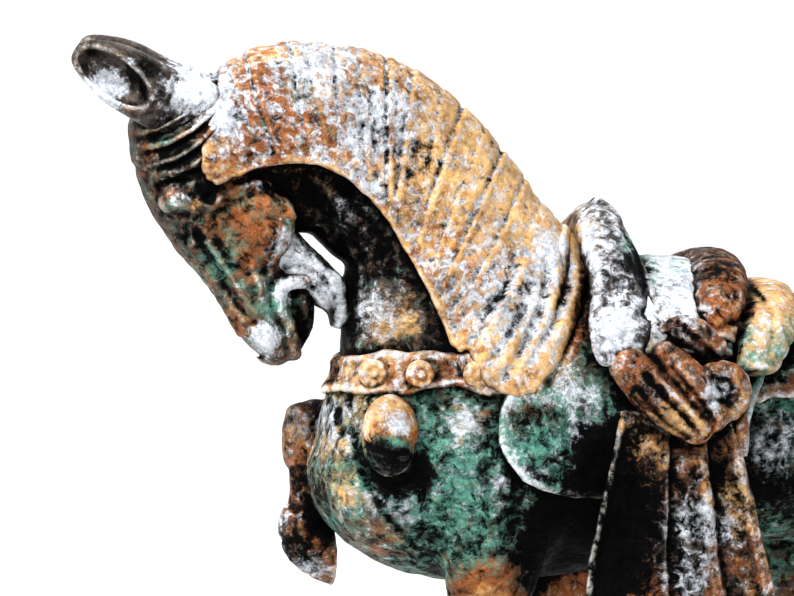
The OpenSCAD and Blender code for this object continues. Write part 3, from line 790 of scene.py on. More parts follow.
FOREARM = [
    (-14, 25, 166, 13, 24), (-38, 26, 164, 14, 20), (-60, 26, 165, 13, 15.5), (-76, 26, 168, 11, 12.5),
    (-88, 26, 171, 10.5, 11.5), (-96, 26, 172, 7, 7),
]
CANNON = [
    (-92, 26, 181, 5, 6), (-91, 26, 176, 9, 9), (-91, 26, 165, 9.5, 9.5), (-91, 26, 154, 7.5, 7.5),
    (-92, 26, 143, 7.5, 7.5), (-93, 26, 135, 8.5, 9), (-91, 26, 127, 8, 8), (-86, 26, 121, 6, 5),
]
RAISED_HOOF = [(-94, 26, 131, 7, 7), (-87, 26, 127, 10, 11), (-75, 26, 124, 12.5, 13.5)]
TAIL = [
    (156, 0, 198, 9, 9), (167, 0, 205, 9, 9), (176, 0, 202, 10, 9), (180, 0, 187, 13, 8.5),
    (179, 0, 165, 15, 8.5), (176, 0, 140, 14, 9), (173, 0, 116, 10, 8), (172, 0, 98, 3, 3),
]
FAR_EAR_SHIFT = (7, 0, 1.5)        # the right ear sits a little further back
SEAM_Z = 198                       # the neck's joint, hidden by the collar and the mane
FORE_CUT, HIND_CUT = 108, 130      # the standing legs' joints
RAISED_CUT = -81                   # x of the raised leg's joint
ABOVE_CUT = 3                      # how far the grid of a leg reaches above its joint
LAP = 1.0                          # how far a leg's skin runs into the body's, to close the joint
PASTERN_GROOVE, CORONET = 16.5, 13.5  # heights of the groove and the ridge that set a hoof off
CORE_AT, CORE_R, CORE_TOP = (46, 0), 15.1, 124  # the core hole under the belly: place, radius, top


def uneven(a, b, height):
    """A slow unevenness along a and b, as in work done by hand."""
    return height * np.sin(a / 5.3 + 1.6 * np.sin(b / 7.1)) + 0.5 * height * np.sin(a / 2.3 + b / 3.1)


def both_sides(clay, form, blend=0.0):
    return clay.add(form, blend).add(flipped(form), blend)


def horse_mass():
    """Trunk, neck and legs as one soft mass, from which the castings are then cut."""
    clay = Clay((-164, -62, -8), (192, 62, 330), COARSE, both=False)
    clay.add(loft(TORSO))
    both_sides(clay, egg((124, -20, 176), (40, 26, 40), 20), 8)        # haunch
    both_sides(clay, egg((-66, -17, 156), (21, 19, 26), -35), 6)       # breast
    both_sides(clay, egg(flank(-33, 27, 156), (18, 18, 37), 8), 4)     # shoulder
    both_sides(clay, egg((-20, -22, 196), (26, 20, 30)), 10)           # shoulder blade
    clay.add(rod([(-84, 0, 188), (-83, 0, 168), (-75, 0, 146), (-60, 0, 130)], [4, 4.5, 4.5, 4], 3), 2.5)
    clay.add(loft(NECK), 10)
    clay.add(egg((-136, 0, 296), (18, 13, 10.5), 8), 5)                # poll
    clay.add(egg((-99, 0, 262), (13, 9, 13)), 4)                       # throat latch
    for leg, blend in ((FORELEG, 7), (LEFT_HIND, 12), (RIGHT_HIND, 12), (FOREARM, 6)):
        clay.add(loft(leg), blend)
    clay.add(loft(CANNON), 3)
    return clay


def neck_side(x, z):
    """Distance above the neck's joint: level under the collar, then rising under the mane."""
    return np.minimum(z - SEAM_Z, 0.5 * (z - SEAM_Z) - 0.87 * (x + 22))


def raised_side(x, y):
    """Distance into the raised leg, in front of its joint."""
    return np.minimum(RAISED_CUT - x, y - 8)


def body_clay(mass):
    clay = Clay((-96, -56, 104), (182, 56, 232), 1.1 * DRAFT, both=False).merge(mass)
    x, y, z = clay.all()
    clay.keep(neck_side(x, z))
    clay.keep(np.minimum(np.minimum(FORE_CUT - z, -x), -y))
    clay.keep(np.minimum(HIND_CUT - z, x - 75))
    clay.keep(raised_side(x, y), 1.0)
    clay.cut(rod([(*CORE_AT, CORE_TOP - 30), (*CORE_AT, CORE_TOP - CORE_R)], [CORE_R] * 2))
    # Breast: the strap-like keel, the dark hole beside it and the folds round the bell
    clay.stroke([(-79, 187), (-78, 172), (-74, 158), (-66, 144), (-56, 133)], 1.6, 1.3)
    clay.stroke([(-83.5, 182), (-82, 175)], 2.2, 2.2)
    clay.stroke([(-48, 188), (-50, 172), (-52, 158), (-49, 142), (-44, 128)], (3, 3.4, 3.6, 3, 2),
                (1, 1.8, 1.6, 1, 0))
    clay.stroke([(-74, 160), (-64, 156), (-56, 160)], 2.0, 1.0)
    clay.stroke([(-17, 184), (-15, 168), (-17, 152), (-20, 138), (-22, 126)], (3, 3.5, 4, 3.5, 2),
                (1.5, 2.2, 2.4, 1.6, 0))
    clay.stroke([(-36, 176), (-39, 158), (-38, 140)], 4, -0.8)
    clay.stroke([(-27, 170), (-29, 150), (-30, 132)], 3, 0.5)
    # Belly, flank and haunch
    clay.stroke([(2, 128), (30, 121), (62, 126), (86, 142)], 4, 0.9)
    clay.stroke([(88, 178), (95, 160), (98, 142)], 6, 1.3)
    clay.stroke([(150, 184), (143, 160), (146, 140)], 4, 0.8)
    clay.stroke([(112, 200), (126, 184), (132, 162)], 6, -0.6)
    return clay


def neck_clay(mass, skull):
    clay = Clay((-146, -44, 190), (12, 44, 320), 0.9 * DRAFT).merge(mass)
    x, _, z = clay.all()
    clay.keep(-neck_side(x, z)).minus(skull, grow=-0.4)
    clay.stroke([(-98, 268), (-86, 250), (-80, 232), (-78, 212)], 3, 1.2)
    clay.stroke([(-92, 270), (-78, 252), (-70, 232), (-68, 210)], 4.0, -0.9)
    clay.stroke([(-84, 268), (-68, 248), (-62, 226), (-60, 208)], 3.0, 0.9)
    clay.stroke([(-80, 252), (-74, 236), (-73, 222)], 1.4, 0.6)
    return clay


def skull_clay():
    """The head without its lower jaw, ears and tufts."""
    clay = Clay((-170, -30, 190), (-88, 30, 316), 0.6 * DRAFT)
    clay.add(loft(HEAD))
    clay.add(egg(flank(-116.5, 11, 252), (16.5, 9.6, 16)), 2.0)                  # cheek
    clay.add(egg(flank(-143, 12.5, 263.5), (9, 5.6, 6.8), 25), 2.0)            # eye
    clay.add(egg(flank(-142, 9, 274), (13, 7, 6), 15), 3)                        # brow
    clay.add(egg(flank(-111, 8, 210), (8, 5.2, 5), -48), 1.5)                    # nostril's wing
    lip = [flank(-101, 7, 204), flank(-103.5, 8, 215), flank(-107.5, 9, 223), flank(-104, 10, 230),
           flank(-97, 9, 231)]
    clay.add(rod(lip, [3.0, 3.1, 3.1, 3.1, 2.8], 4), 2.0)
    clay.add(rod([(-99, 0, 223), (-99, 0, 214), (-101, 0, 208)], [6, 5.5, 4], 3),
             1.5)  # inside of the mouth
    clay.press((-144, 251.5), (6, 5), 1.5)
    clay.press((-132, 263.5), (2.2, 2.2), 2.0)
    clay.press((-104, 216), (2.2, 5), 1.2, -30)
    clay.stroke([(-133.5, 246), (-126.5, 235.5), (-118.6, 223.6)], (1.8, 1.8, 1.4), (-0.9, -1.2, -0.7))
    clay.stroke([(-136.5, 249), (-129.6, 236), (-121.8, 223), (-118, 218)], (2.2, 2.6, 2.2, 1.6),
                (0.8, 1.7, 1.5, 0.6))
    clay.stroke([(-139.5, 271), (-136, 262.6), (-132.5, 260.5), (-129, 262)], 1.8, -1.0)
    clay.stroke([(-136, 262), (-138.4, 255.6), (-134.5, 250.5)], 1.7, -0.9)
    clay.stroke([(-150.5, 266), (-146.5, 259), (-140.5, 256.5)], 1.7, 0.9)
    clay.stroke([(-151, 268), (-145, 270.6), (-139.5, 270)], 1.2, 0.9)
    clay.stroke([(-142, 254), (-139.2, 251), (-138.7, 245.9)], 1.5, -0.7)
    clay.stroke([(-140.8, 253), (-141, 246)], 1.2, 0.9)
    clay.stroke([(-128.5, 263), (-119, 267.5), (-110, 269.5), (-103.5, 265), (-100, 256)], 1.7, -1.1)
    clay.stroke([(-127.5, 259), (-118, 263.5), (-108.5, 264), (-104.5, 258)], 1.6, 0.8)
    clay.stroke([(-130, 256), (-129, 246), (-122, 237), (-113, 235)], 1.8, 0.9)
    clay.stroke([(-120.3, 208.6), (-116.5, 204.8), (-113.2, 202.6)], 1.2, 1.9)
    clay.stroke([(-122, 222), (-116, 216.5), (-113, 211)], 1.6, 0.9)
    clay.stroke([(-103.5, 239), (-108.5, 232), (-109.5, 224), (-106, 214), (-104, 206)], 1.5, 1.2)
    clay.stroke([(-116, 236), (-113.5, 231), (-113, 226)], 1.8, -0.8)
    clay.stroke([(-112, 238), (-110, 230)], 1.6, 0.9)
    return clay


def jaw_clay(skull):
    clay = grid_for("lower_jaw", 0.55, both=True)
    clay.add(loft(JAW))
    clay.add(egg(flank(-88, 6, 228), (7, 5.5, 7), -50), 2)
    clay.stroke([(-104, 236), (-97, 236.5), (-90, 232), (-85, 225)], 1.6, 0.8)
    clay.stroke([(-108, 231), (-101.5, 231), (-94, 226.5), (-88.5, 220)], 1.4, -1.0)
    return clay.minus(skull, grow=-0.4)


def ear_clay(skull, mass):
    clay = grid_for("left_ear", 0.55, room=14)
    clay.add(loft(EAR))
    clay.add(egg((-143, -9, 301), (15, 8, 8), -12), 6)
    clay.cut(egg(flank(-167.0, 25.5, 308.3), (17, 11.5, 7.6), -37), 1.6)
    return clay.minus(skull, grow=-0.6).minus(mass, grow=-0.4)


MANE_EDGE = [
    (-129, 312), (-132, 296), (-135, 283), (-135.5, 275), (-133, 270), (-129, 268.6), (-124, 271),
    (-114, 274.6), (-103, 276.6), (-91, 275.8), (-81, 271), (-72, 263.5), (-64, 253.5), (-57, 241),
    (-51, 231), (-46, 221), (-41, 208.5), (-38, 205), (-35, 205.6), (-31, 198), (-27.4, 193),
    (-23, 190), (-17, 188.5), (-10, 190), (0, 203), (7, 219), (11, 235), (5, 262), (4, 340),
    (-129, 340),
]

MANE_T = 3.9                       # how far the mane stands off the neck


def mane_clay(mass, skull):
    clay = Clay((-156, -54, 184), (14, 54, 324), 0.9 * DRAFT)
    clay.merge(mass).merge(skull, 4)
    x, y, z = clay.all()
    u = drawn(x, y)
    towards_ears = 2.6 * np.clip((-116 - u) / 14, 0, 1) * np.clip((z - 276) / 8, 0, 1)
    at_locks = 2.2 * np.exp(-((u + 24)**2 + (z - 200)**2) / 16**2)
    thick = MANE_T - towards_ears + at_locks + uneven(u, z, 0.25)
    clay.d = soft_max(clay.d - thick, polygon(MANE_EDGE, u, z).astype(np.float32), 2.4)
    clay.stroke(MANE_EDGE[5:17], 1.5, -1.1, inner=8)
    strands = [
        ((-126.5, 313), (-117, 289)), ((-119.3, 316), (-108.5, 280)), ((-102.6, 322), (-96.5, 284)),
        ((-96, 322), (-90, 280)), ((-86, 322), (-83, 278)), ((-76.8, 320), (-74, 270)),
        ((-66, 318), (-66, 262)),
        ((-56, 312), (-63, 262)), ((-44.5, 305), (-56, 248)), ((-36.5, 298), (-50, 262), (-55, 246)),
        ((-28, 290), (-40, 262), (-50, 236)), ((-21, 282), (-34, 254), (-46, 230)),
        ((-13, 270), (-26, 244), (-42, 220)), ((-6, 262), (-18, 240), (-34, 214)),
    ]
    for order, line in enumerate(strands):
        deep = (0.7, 1.4, 1.0, 0.5, 1.2)[order % 5]
        clay.stroke(line, 0.9, np.linspace(deep, 0.4 * deep, len(line)))
        clay.stroke([(u + 1.9, z) for u, z in line], 1.2, np.linspace(-0.2, -0.9, len(line)) * deep)
    locks = [
        ((-16.7, 238), (-24, 226), (-31, 214), (-36.5, 206)),
        ((-12, 230), (-16, 218), (-24, 206), (-30, 199)),
        ((-5, 240), (-7, 224), (-14, 208), (-22, 196)), ((1, 246), (3, 232), (-4, 214), (-13, 201)),
    ]
    for line in locks:
        clay.stroke(line, (1.4, 1.9, 2.0, 1.5), (0.6, 1.5, 1.6, 0.8))
        clay.stroke([(u + 4.5, z + 1) for u, z in line], (1.5, 2.4, 2.4, 1.5), (-0.5, -1.1, -1.2, -0.4))
    clay.press((-29, 213), (3.5, 5.5), -1.2, 20).press((-27, 197), (3.5, 3.5), -1.2)
    clay.press((-37, 209), (3, 4), -1)
    return clay.minus(mass, grow=-0.5).minus(skull, grow=-0.5)


FORELOCK_EDGE = [
    (-164, 291), (-157, 300), (-144, 302), (-134, 303), (-127, 296), (-127, 284), (-134, 273),
    (-150, 269), (-162, 275),
]


def forelock_clay(mass, skull):
    """A thin sheet of hair over the temple, combed into four tufts."""
    clay = Clay((-172, -34, 262), (-116, 34, 312), 0.6 * DRAFT).merge(skull).merge(mass, 3)
    x, y, z = clay.all()
    clay.d = soft_max(clay.d - 1.4, polygon(FORELOCK_EDGE, drawn(x, y), z).astype(np.float32), 4.0)
    tufts = [
        ((-133, 300), (-139.5, 295.6), (-145.5, 292), (-152, 289.2), (-158, 288)),
        ((-127, 298), (-135.7, 290.6), (-141.7, 286.8), (-148, 283.8), (-157, 282)),
        ((-127, 292.5), (-133, 286), (-139.5, 281), (-145.5, 278), (-154, 276)),
        ((-127, 286), (-132, 280), (-138, 275.5), (-146, 272)),
    ]
    for line in tufts:
        clay.stroke(line, 1.5, (-0.2, -1.4, -1.7, -1.3, -0.5)[:len(line)])
        clay.stroke([(u - 0.8, z - 2.6) for u, z in line], 1.1, (0.6, 1.5, 1.6, 1.2, 0.4)[:len(line)])
    return clay.minus(skull, grow=-0.6).minus(mass, grow=-0.6)


def leg_clay(mass, low, high, top, leg):
    """A standing leg, from its joint down to a flat sole, with its hoof set off."""
    clay = Clay(low, high, 0.9 * DRAFT, both=False).merge(mass)
    z = clay.all()[2]
    clay.keep(z - top - LAP)
    clay.keep(-z, 0.8)
    clay.d += 0.9 * np.exp(-((z - PASTERN_GROOVE) / 1.3)**2)
    clay.d -= 0.7 * np.exp(-((z - CORONET) / 1.6)**2)
    mid = [(drawn(s[0], s[1]), s[2]) for s in leg if 20 < s[2] < 62]
    clay.stroke([(u + 3.5, z) for u, z in mid], 1.3, 1.0)
    clay.stroke([(u - 3.5, z) for u, z in mid], 1.6, 0.5)
    return clay


def raised_clay(mass):
    clay = Clay((-116, 4, 106), (-62, 52, 192), 0.8 * DRAFT, both=False).merge(mass)
    clay.add(loft(RAISED_HOOF), 0.6)
    x, y, _ = clay.all()
    clay.keep(-raised_side(x, y))
    clay.stroke([(-97, 160), (-98, 146), (-99, 138)], 1.5, 1.2)
    clay.stroke([(-92, 158), (-92.5, 142)], 1.3, 1.3)
    clay.stroke([(-104, 131), (-98, 129.5), (-92, 131)], 1.3, 1.1)
    clay.stroke([(-103, 178), (-97, 175), (-92, 178)], 1.6, 0.8)
    return clay


def tail_clay(mass):
    clay = grid_for("tail", 0.9)
    clay.add(loft(TAIL))
    x, y, z = clay.all()
    middle = np.interp(z, [s[2] for s in TAIL[:1:-1]], [s[0] for s in TAIL[:1:-1]])
    angle = np.arctan2(y, x - middle)
    strands = np.cos(9 * angle + z / 9) + 0.5 * np.cos(17 * angle - z / 14)
    clay.d += (0.75 * strands * np.clip((204 - z) / 12, 0, 1)).astype(np.float32)
    return clay.minus(mass, grow=-0.5)


# ---------------------------------------------------------------- the tack
# The left halves of arches over the back, up to the middle: y, -x, z, half length along the horse,
# half thickness

COVER = [
    (-50, -13, 201, 9, 2.5), (-46, -15, 211, 12.5, 6.5), (-33, -17, 228, 14, 9),
    (-16, -16, 244, 11, 10), (0, -16, 250, 9, 10),
]
SEAT = [
    (-46, -37, 204, 22, 6), (-37, -37, 219, 23, 7), (-20, -39, 229, 24, 8), (0, -41, 231, 25, 8),
]
CANTLE = [
    (-45, -52, 209, 8, 7), (-37, -55, 222, 11, 9), (-20, -59, 230, 12, 10), (0, -62, 232, 12, 10),
]
ROLL = [
    (-49, -67, 198, 8, 6), (-42, -73, 211, 11, 7), (-23, -79, 220, 11, 8), (0, -83, 222, 11, 8),
]
BLANKET_EDGE = [
    (4, 262), (-3, 238), (-12, 215), (-19, 196), (-23.5, 182), (-24, 172), (-21, 165), (-14.8, 157),
    (-8, 153.5), (5, 150), (40, 148), (63, 151), (69, 168), (74, 186), (84, 212), (88, 240),
]
BLANKET_T = 4.0


def arch(half):
    """A loft over the back, from the quarter-turned stations of its left half."""
    distance, low, high = loft([*half, *((-y, *rest) for y, *rest in half[-2::-1])])
    low, high = np.array([-high[1], low[0], low[2]]), np.array([-low[1], high[0], high[2]])
    return (lambda x, y, z: distance(y, -x, z)), low, high


def blanket_clay(mass):
    clay = Clay((-40, -58, 140), (94, 58, 268), 0.95 * DRAFT).merge(mass)
    x, y, z = clay.all()
    u = drawn(x, y)
    edge = polygon(BLANKET_EDGE, u, z).astype(np.float32)
    hem = 0.4 * np.exp(-((edge + 2.2) / 1.8)**2)
    thin = 2.2 * np.exp(-((u + 8)**2 + (z - 214)**2) / 18**2)
    clay.d = soft_max(clay.d - BLANKET_T - hem + thin, edge, 1.6)
    for u, deep in ((1, -0.5), (4, 0.9), (7.5, -0.9), (11.5, 0.9)):
        clay.stroke([(u + 4, 256), (u, 234), (u - 6, 214), (u - 16, 194)], 1.9, deep)
    clay.stroke([(-20, 178), (-8, 182), (6, 178)], 2.5, 0.7)
    clay.stroke([(-18, 166), (-6, 168), (4, 162)], 2.0, -0.7)
    clay.stroke([(-6, 196), (0, 180), (2, 164)], 3.0, 1.0)
    return clay.minus(mass, grow=-0.5)


def over_blanket(clay, mass, blend=0.6):
    """Trims a piece of tack to what lies outside the horse and its blanket."""
    return clay.minus(mass, blend, grow=BLANKET_T - 1.0)


COVER_EDGE = [
    (-8, 278), (4, 248), (10.5, 233), (8.5, 217), (9, 205), (14, 198), (23, 195), (32, 202), (37, 215),
    (34, 231), (26, 248), (24, 278),
]


def cover_clay(mass):
    clay = grid_for("saddle_cover", 0.8, both=True)
    clay.add(arch(COVER))
    x, y, z = clay.all()
    clay.d = soft_max(clay.d, polygon(COVER_EDGE, drawn(x, y), z).astype(np.float32), 5.0)
    ridge = [flank(15, 2, 260), flank(21, 10, 254), flank(28, 24, 241), flank(34, 36, 228),
             flank(38, 46, 213)]
    clay.add(rod(ridge, [1.8, 2.2, 2.4, 2.6, 2.6], 4), 2.0)
    clay.stroke([(17, 254), (24, 242), (30, 230), (33, 218)], 2.2, 1.0)
    clay.stroke([(24, 252), (31, 238), (37, 224)], 1.2, 0.8)
    clay.press((19, 226), (7, 13), 1.8, -60)
    clay.press((30, 219), (3, 2.2), 2.0)
    clay.stroke([(8, 250), (13, 236), (12, 222), (6, 208)], 2.2, -0.7)
    return over_blanket(clay, mass)


def seat_clay(mass, cover, cantle):
    clay = grid_for("saddle_seat", 0.9, both=True)
    clay.add(arch(SEAT))
    clay.stroke([(22, 236), (34, 234), (48, 233)], 1.5, 0.7)
    return over_blanket(clay, mass).minus(cover, grow=-0.4).minus(cantle, grow=-0.4)


def cantle_clay(mass):
    clay = grid_for("saddle_cantle", 0.8, both=True)
    clay.add(arch(CANTLE))
    clay.stroke([(48, 234), (58, 237), (67, 234), (68, 224), (62, 218)], 1.4, -0.8)
    clay.stroke([(46, 220), (58, 214), (70, 218)], 1.5, 1.2)
    return over_blanket(clay, mass)


def roll_clay(mass, cantle, seat):
    clay = grid_for("back_roll", 0.8, both=True)
    clay.add(arch(ROLL))
    clay.stroke([(74, 226), (80, 218), (78, 205)], 1.3, 0.9)
    return over_blanket(clay, mass).minus(cantle, grow=-0.4).minus(seat, grow=-0.4)


def knot_clay(mass, *others):
    """The saddle cloth's knot: two loops, a coil and a hood above them."""
    clay = grid_for("left_knot", 0.55)
    clay.add(rod([flank(25, 50, 200), flank(37, 55, 188), flank(50, 57, 178)], [7.5, 9.5, 7.5], 4))
    clay.add(rod([flank(39, 50, 203), flank(48, 56, 193), flank(56, 57, 181)], [6.5, 8, 6.5], 4), 0.8)
    turns = np.linspace(0, 2 * math.pi, 13)
    ring = [flank(60 + 7.5 * math.cos(a), 55, 190 + 8 * math.sin(a)) for a in turns]
    clay.add(rod(ring, [4.2] * len(ring)), 2.0)
    clay.add(egg(flank(60, 54, 190), (8, 5, 8)), 2.0)
    clay.add(rod([flank(40, 45, 211), flank(48, 48, 212), flank(57, 47, 207)], [5.5, 7, 5.5], 4), 0.8)
    clay.add(rod([flank(66, 50, 184), flank(67.5, 52, 172), flank(67, 52, 163)], [4, 3.5, 2.5], 3), 1.0)
    clay.stroke([(31, 197), (40, 187), (50.9, 175.5)], 1.3, 1.2)
    clay.stroke([(34.5, 198), (44, 188), (54, 177)], 1.4, -1.2)
    clay.stroke([(41, 200), (49, 191), (57, 180)], 1.2, 0.9)
    clay.stroke([(28, 192), (38, 180), (48, 173)], 1.3, 0.8)
    clay.stroke([(57, 196), (63, 194), (62, 187), (56, 188)], 1.3, 0.7)
    clay.stroke([(31.5, 211.5), (35, 210.6), (39.5, 211.4)], 1.0, 1.6)
    clay.stroke([(44, 216), (51, 210), (58, 203)], 1.4, 0.9)
    over_blanket(clay, mass)
    for other in others:
        clay.minus(other, grow=-0.6)
    return clay


# The hanging cloth: height, then where its left and right edges are drawn, and how far out it hangs
CLOTH_RUN = np.array([
    (88, 4, 88, 56), (110, 8.4, 82, 55), (128, 10, 77, 54.5), (150, 15, 72.5, 54),
    (165, 18.5, 68.5, 54), (182, 22, 66, 52),
])
# One cloth from its left edge to its right: share of the way across, and how far the fold stands out
CLOTH_FOLD = np.array([
    (0, 2.6), (0.03, 2.4), (0.07, 0.9), (0.20, 0.5), (0.36, 1.9), (0.43, 2.2), (0.45, 0.2), (0.50, 0.6),
    (0.60, 2.0), (0.68, 4.4), (0.72, 4.2), (0.745, 0.6), (0.80, 0.9), (0.90, 2.6), (0.95, 4.4),
    (1.0, 3.6),
])

CLOTH_LOW, CLOTH_TOP = 90.5, 186     # its hem, and its top inside the knot


def cloth_clay(mass, knot):
    clay = grid_for("left_cloth", 0.8)
    x, y, z = clay.all()
    u = drawn(x, y)
    left, right, out = (np.interp(z, CLOTH_RUN[:, 0], CLOTH_RUN[:, k]) for k in (1, 2, 3))
    across = (u - left) / (right - left)
    ripple = 0.5 * np.sin(z / 7 + 9 * across)
    below_knot = np.clip((185 - z) / 25, 0, 1)
    fold = np.interp(across, CLOTH_FOLD[:, 0], CLOTH_FOLD[:, 1]) * below_knot + 0.4 * ripple
    outer = -(out + fold) - y
    inner = y + out - 2.5 + 0.6 * np.minimum(fold, 0)
    sides = np.maximum(left - u, u - right)
    clay.d = soft_max(soft_max(outer * 0.8, inner, 0.8), sides, 1.6)
    clay.keep(CLOTH_LOW - z + 1.2 * np.sin(across * 14), 1.0)
    clay.keep(z - CLOTH_TOP)
    clay.d = clay.d.astype(np.float32)
    return clay.minus(knot, 0.4).minus(mass, grow=1.0)


COLLAR_EDGE = [
    (-110, 186), (-79, 188.5), (-58, 190), (-46, 191.5), (-8, 189), (-8, 203), (-30, 204), (-46, 206),
    (-60, 205.2), (-75.6, 203), (-110, 200),
]
CRUPPER_EDGE = [(64, 186), (200, 186), (200, 198), (64, 198)]


def strap_clay(mass, low, high, edge, over=()):
    """A strap round the trunk, with a raised border. It passes under the pieces in over."""
    clay = Clay(low, high, 0.8 * DRAFT).merge(mass)
    x, y, z = clay.all()
    level = polygon(edge, drawn(x, y), z + uneven(x, z, 0.9)).astype(np.float32)
    border = 0.4 * np.exp(-((level + 1.8) / 1.6)**2)
    clay.d = soft_max(clay.d - 2.2 - border - uneven(z, x, 0.3), level, 2.2)
    for piece in over:
        clay.minus(piece)
    return clay.minus(mass, grow=-0.5)


def rosette(clay, centre, radius):
    """A domed rosette with eight petals, on the left flank."""
    x, y, z = centre
    clay.add(egg((x, y + 1, z), (radius, radius * 0.6, radius)), 0.5)
    for k in range(8):
        a = 2 * math.pi * k / 8
        petal = (x + 0.66 * radius * math.cos(a), y - 0.6, z + 0.66 * radius * math.sin(a))
        clay.add(egg(petal, (radius * 0.28, radius * 0.36, radius * 0.28)), 1.2)
    clay.add(egg((x, y - radius * 0.4, z), (radius * 0.28,) * 3), 1.0)


def rosettes_clay(node, mass, places, height, over=()):
    clay = grid_for(node, 0.5, both=True)
    for x, y in places:
        rosette(clay, (x, -y - 2.5, height), 5.4)
    for piece in over:
        clay.minus(piece)
    return clay.minus(mass, grow=1.5)


def bells_clay(mass):
    clay = grid_for("breast_bells", 0.6, both=True)
    centre = (-71, -35, 174)
    clay.add(egg(centre, (10.8, 10.5, 15.6)))
    clay.stroke([(-73, 171), (-63, 168), (-53, 171)], 1.4, 0.5)
    return clay.minus(mass, grow=-0.6)


def sculpt_horse():
    """Makes the horse's castings. Gives its mass and its mane, which the tack is fitted to."""
    mass = horse_mass()
    skull = skull_clay()
    casting("horse_body", body_clay(mass), ["body_casting"], "horse_bronze", "body", 1.3)
    casting("horse_neck", neck_clay(mass, skull), ["neck_casting"], "horse_bronze", "neck")
    casting("horse_head", skull, ["head_casting"], "head_bronze", "head", 0.8)
    casting("horse_jaw", jaw_clay(skull), ["lower_jaw"], "horse_bronze", "jaw", 0.8)
    ear = ear_clay(skull, mass)
    casting("ear_left", ear, ["left_ear"], "ear_bronze", "ear", 0.3)
    casting("ear_right", ear, ["right_ear"], "ear_bronze", "ear", 0.3, mirror=True, shift=FAR_EAR_SHIFT)
    mane = mane_clay(mass, skull)
    casting("horse_mane", mane, ["mane"], "mane_bronze", "mane", 1.7, cracks=0.5)
    casting("horse_forelock", forelock_clay(mass, skull), ["forelock"], "head_bronze", "head", 0.6)
    for name, low, high, top, leg in (
        ("left_foreleg", (-66, -48, -3), (-4, 0, FORE_CUT + ABOVE_CUT), FORE_CUT, FORELEG),
        ("left_hind_leg", (104, -52, -3), (170, -6, HIND_CUT + ABOVE_CUT), HIND_CUT, LEFT_HIND),
        ("right_hind_leg", (68, 6, -3), (132, 52, HIND_CUT + ABOVE_CUT), HIND_CUT, RIGHT_HIND),
    ):
        casting("horse_" + name, leg_clay(mass, low, high, top, leg), [name], "horse_bronze", "leg", 1.3)
    casting("horse_right_foreleg", raised_clay(mass), ["right_foreleg"], "horse_bronze", "raised", 1.2)
    casting("horse_tail", tail_clay(mass), ["tail"], "horse_bronze", "leg")
    return mass, mane


def sculpt_saddle(mass):
    cover, cantle = cover_clay(mass), cantle_clay(mass)
    seat = seat_clay(mass, cover, cantle)
    roll = roll_clay(mass, cantle, seat)
    knot = knot_clay(mass, cover, seat, cantle, roll)
    cloth = cloth_clay(mass, knot)
    casting("blanket", blanket_clay(mass), ["saddle_blanket"], "blanket_bronze", "blanket")
    casting("cover", cover, ["saddle_cover"], "cover_bronze", "cover", 0.7)
    casting("seat", seat, ["saddle_seat"], "blanket_bronze", "seat")
    casting("cantle", cantle, ["saddle_cantle"], "strap_bronze", "knot")
    casting("roll", roll, ["back_roll"], "blanket_bronze", "roll")
    for side, mirror in (("left", False), ("right", True)):
        casting("knot_" + side, knot, [side + "_knot"], "cloth_bronze", "knot", 0.8, mirror)
        casting("cloth_" + side, cloth, [side + "_cloth"], "cloth_bronze", "cloth", 0.8, mirror)


def sculpt_straps(mass, mane):
    collar = strap_clay(mass, (-98, -54, 182), (-6, 54, 212), COLLAR_EDGE, [mane])
    crupper = strap_clay(mass, (60, -52, 180), (186, 52, 204), CRUPPER_EDGE)
    casting("collar", collar, ["breast_collar"], "strap_bronze", "strap", 1.8)
    casting("crupper_strap", crupper, ["crupper"], "strap_bronze", "strap")
    front, rear = ((-76, 25), (-60, 35), (-39, 39)), ((104, 42), (132, 37), (157, 27))
    on_collar = rosettes_clay("collar_rosettes", mass, front, 197, [mane])
    on_crupper = rosettes_clay("crupper_rosettes", mass, rear, 192)
    casting("rosettes_front", on_collar, ["collar_rosettes"], "boss_bronze", "boss", 0.5)
    casting("rosettes_rear", on_crupper, ["crupper_rosettes"], "boss_bronze", "boss", 0.5)
    casting("bells", bells_clay(mass), ["breast_bells"], "boss_bronze", "boss", 0.7)


# ---------------------------------------------------------------- the studio

VIEW_TARGET = Vector((-61, 0, 223.8)) * MM
VIEW_WIDTH = 301.7 * MM              # how much the camera sees across, at its target
AZIMUTH, ELEVATION = math.radians(-12), math.radians(3)
LENS, SENSOR = 300, 36
MIDDLE = Vector((0, 0, 180)) * MM      # what the lamps look at


def towards(azimuth, elevation):
    """The direction from the statue to something that is round it by azimuth and up by elevation."""
    flat = math.cos(elevation)
    return Vector((math.sin(azimuth) * flat, -math.cos(azimuth) * flat, math.sin(elevation)))


def add_camera():
    camera = bpy.data.objects.new("camera", bpy.data.cameras.new("camera"))
    bpy.context.scene.collection.objects.link(camera)
    camera.data.lens, camera.data.sensor_width = LENS, SENSOR
    back = towards(AZIMUTH, ELEVATION)
    camera.location = VIEW_TARGET + back * (VIEW_WIDTH * LENS / SENSOR)
    camera.rotation_euler = back.to_track_quat("Z", "Y").to_euler()
    bpy.context.scene.camera = camera


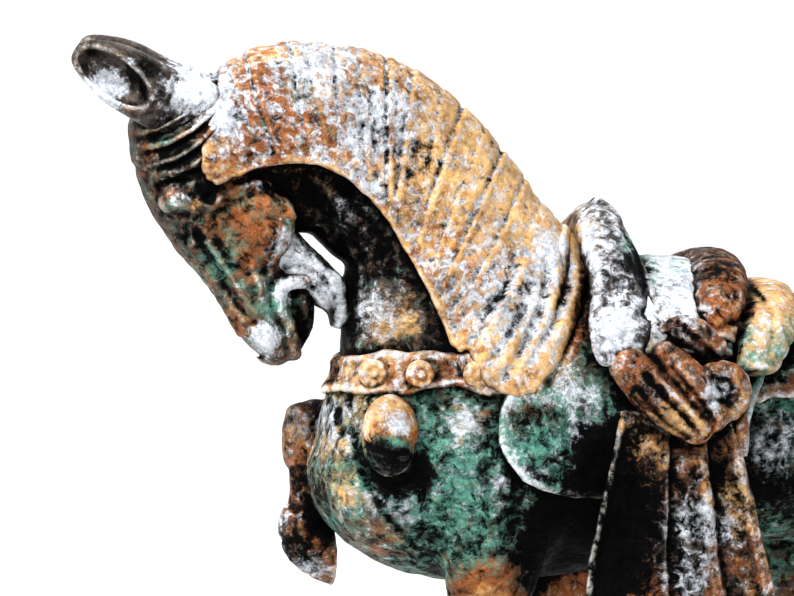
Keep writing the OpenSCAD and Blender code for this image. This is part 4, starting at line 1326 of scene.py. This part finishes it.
def add_light(name, azimuth, elevation, distance, size, power):
    """A soft round white lamp that looks at the statue."""
    lamp = bpy.data.lights.new(name, "AREA")
    lamp.shape, lamp.size, lamp.energy = "DISK", size, power
    holder = bpy.data.objects.new(name, lamp)
    bpy.context.scene.collection.objects.link(holder)
    way = towards(math.radians(azimuth), math.radians(elevation))
    holder.location = MIDDLE + way * distance
    holder.rotation_euler = way.to_track_quat("Z", "Y").to_euler()


def add_floor():
    """A wide pale disc that runs out of sight."""
    bpy.ops.mesh.primitive_circle_add(vertices=96, radius=30, fill_type="NGON")
    floor = bpy.context.object
    floor.name = "floor"
    t = Tree("floor_paper")
    colour = t.mix(t.noise(60.0), (250, 250, 249), (252, 252, 252))
    shader = t.node("BsdfPrincipled", {"Base Color": colour, "Roughness": 0.9})
    t.node("OutputMaterial", {"Surface": shader.outputs[0]})
    floor.data.materials.append(t.material)


def add_studio():
    world = bpy.data.worlds.new("studio")
    bpy.context.scene.world = world
    world.use_nodes = True
    world.node_tree.nodes["Background"].inputs["Color"].default_value = (1, 1, 1, 1)
    world.node_tree.nodes["Background"].inputs["Strength"].default_value = 1.0
    add_light("key", -48, 50, 0.9, 0.3, 15)
    add_light("rim", 150, 50, 1.1, 0.5, 3)
    bpy.context.scene.view_settings.view_transform = "Standard"
    bpy.context.scene.view_settings.look = "Medium High Contrast"
    add_camera()
    add_floor()


def main():
    add_studio()
    mass, mane = sculpt_horse()
    sculpt_saddle(mass)
    sculpt_straps(mass, mane)
    materials = {
        "horse_bronze": patina("horse_bronze", 0.7, brushed=(1.5, 1.5, 0.8)),
        "head_bronze": patina("head_bronze"),
        "ear_bronze": patina("ear_bronze", 0.35),
        "mane_bronze": patina("mane_bronze", 0.8, filled=0.3),
        "blanket_bronze": patina("blanket_bronze"),
        "cover_bronze": patina("cover_bronze", 0.35),
        "cloth_bronze": patina("cloth_bronze"),
        "strap_bronze": patina("strap_bronze"),
        "boss_bronze": patina("boss_bronze"),
    }
    placed(materials)
    pin_metal = brass()
    shown = {node for piece in PIECES for node in piece[3]}
    # The pins, studs, screws and inner sleeves keep the shapes of the CAD
    for name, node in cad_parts.items():
        if name not in shown:
            node.data.materials.clear()
            node.data.materials.append(pin_metal)


main()
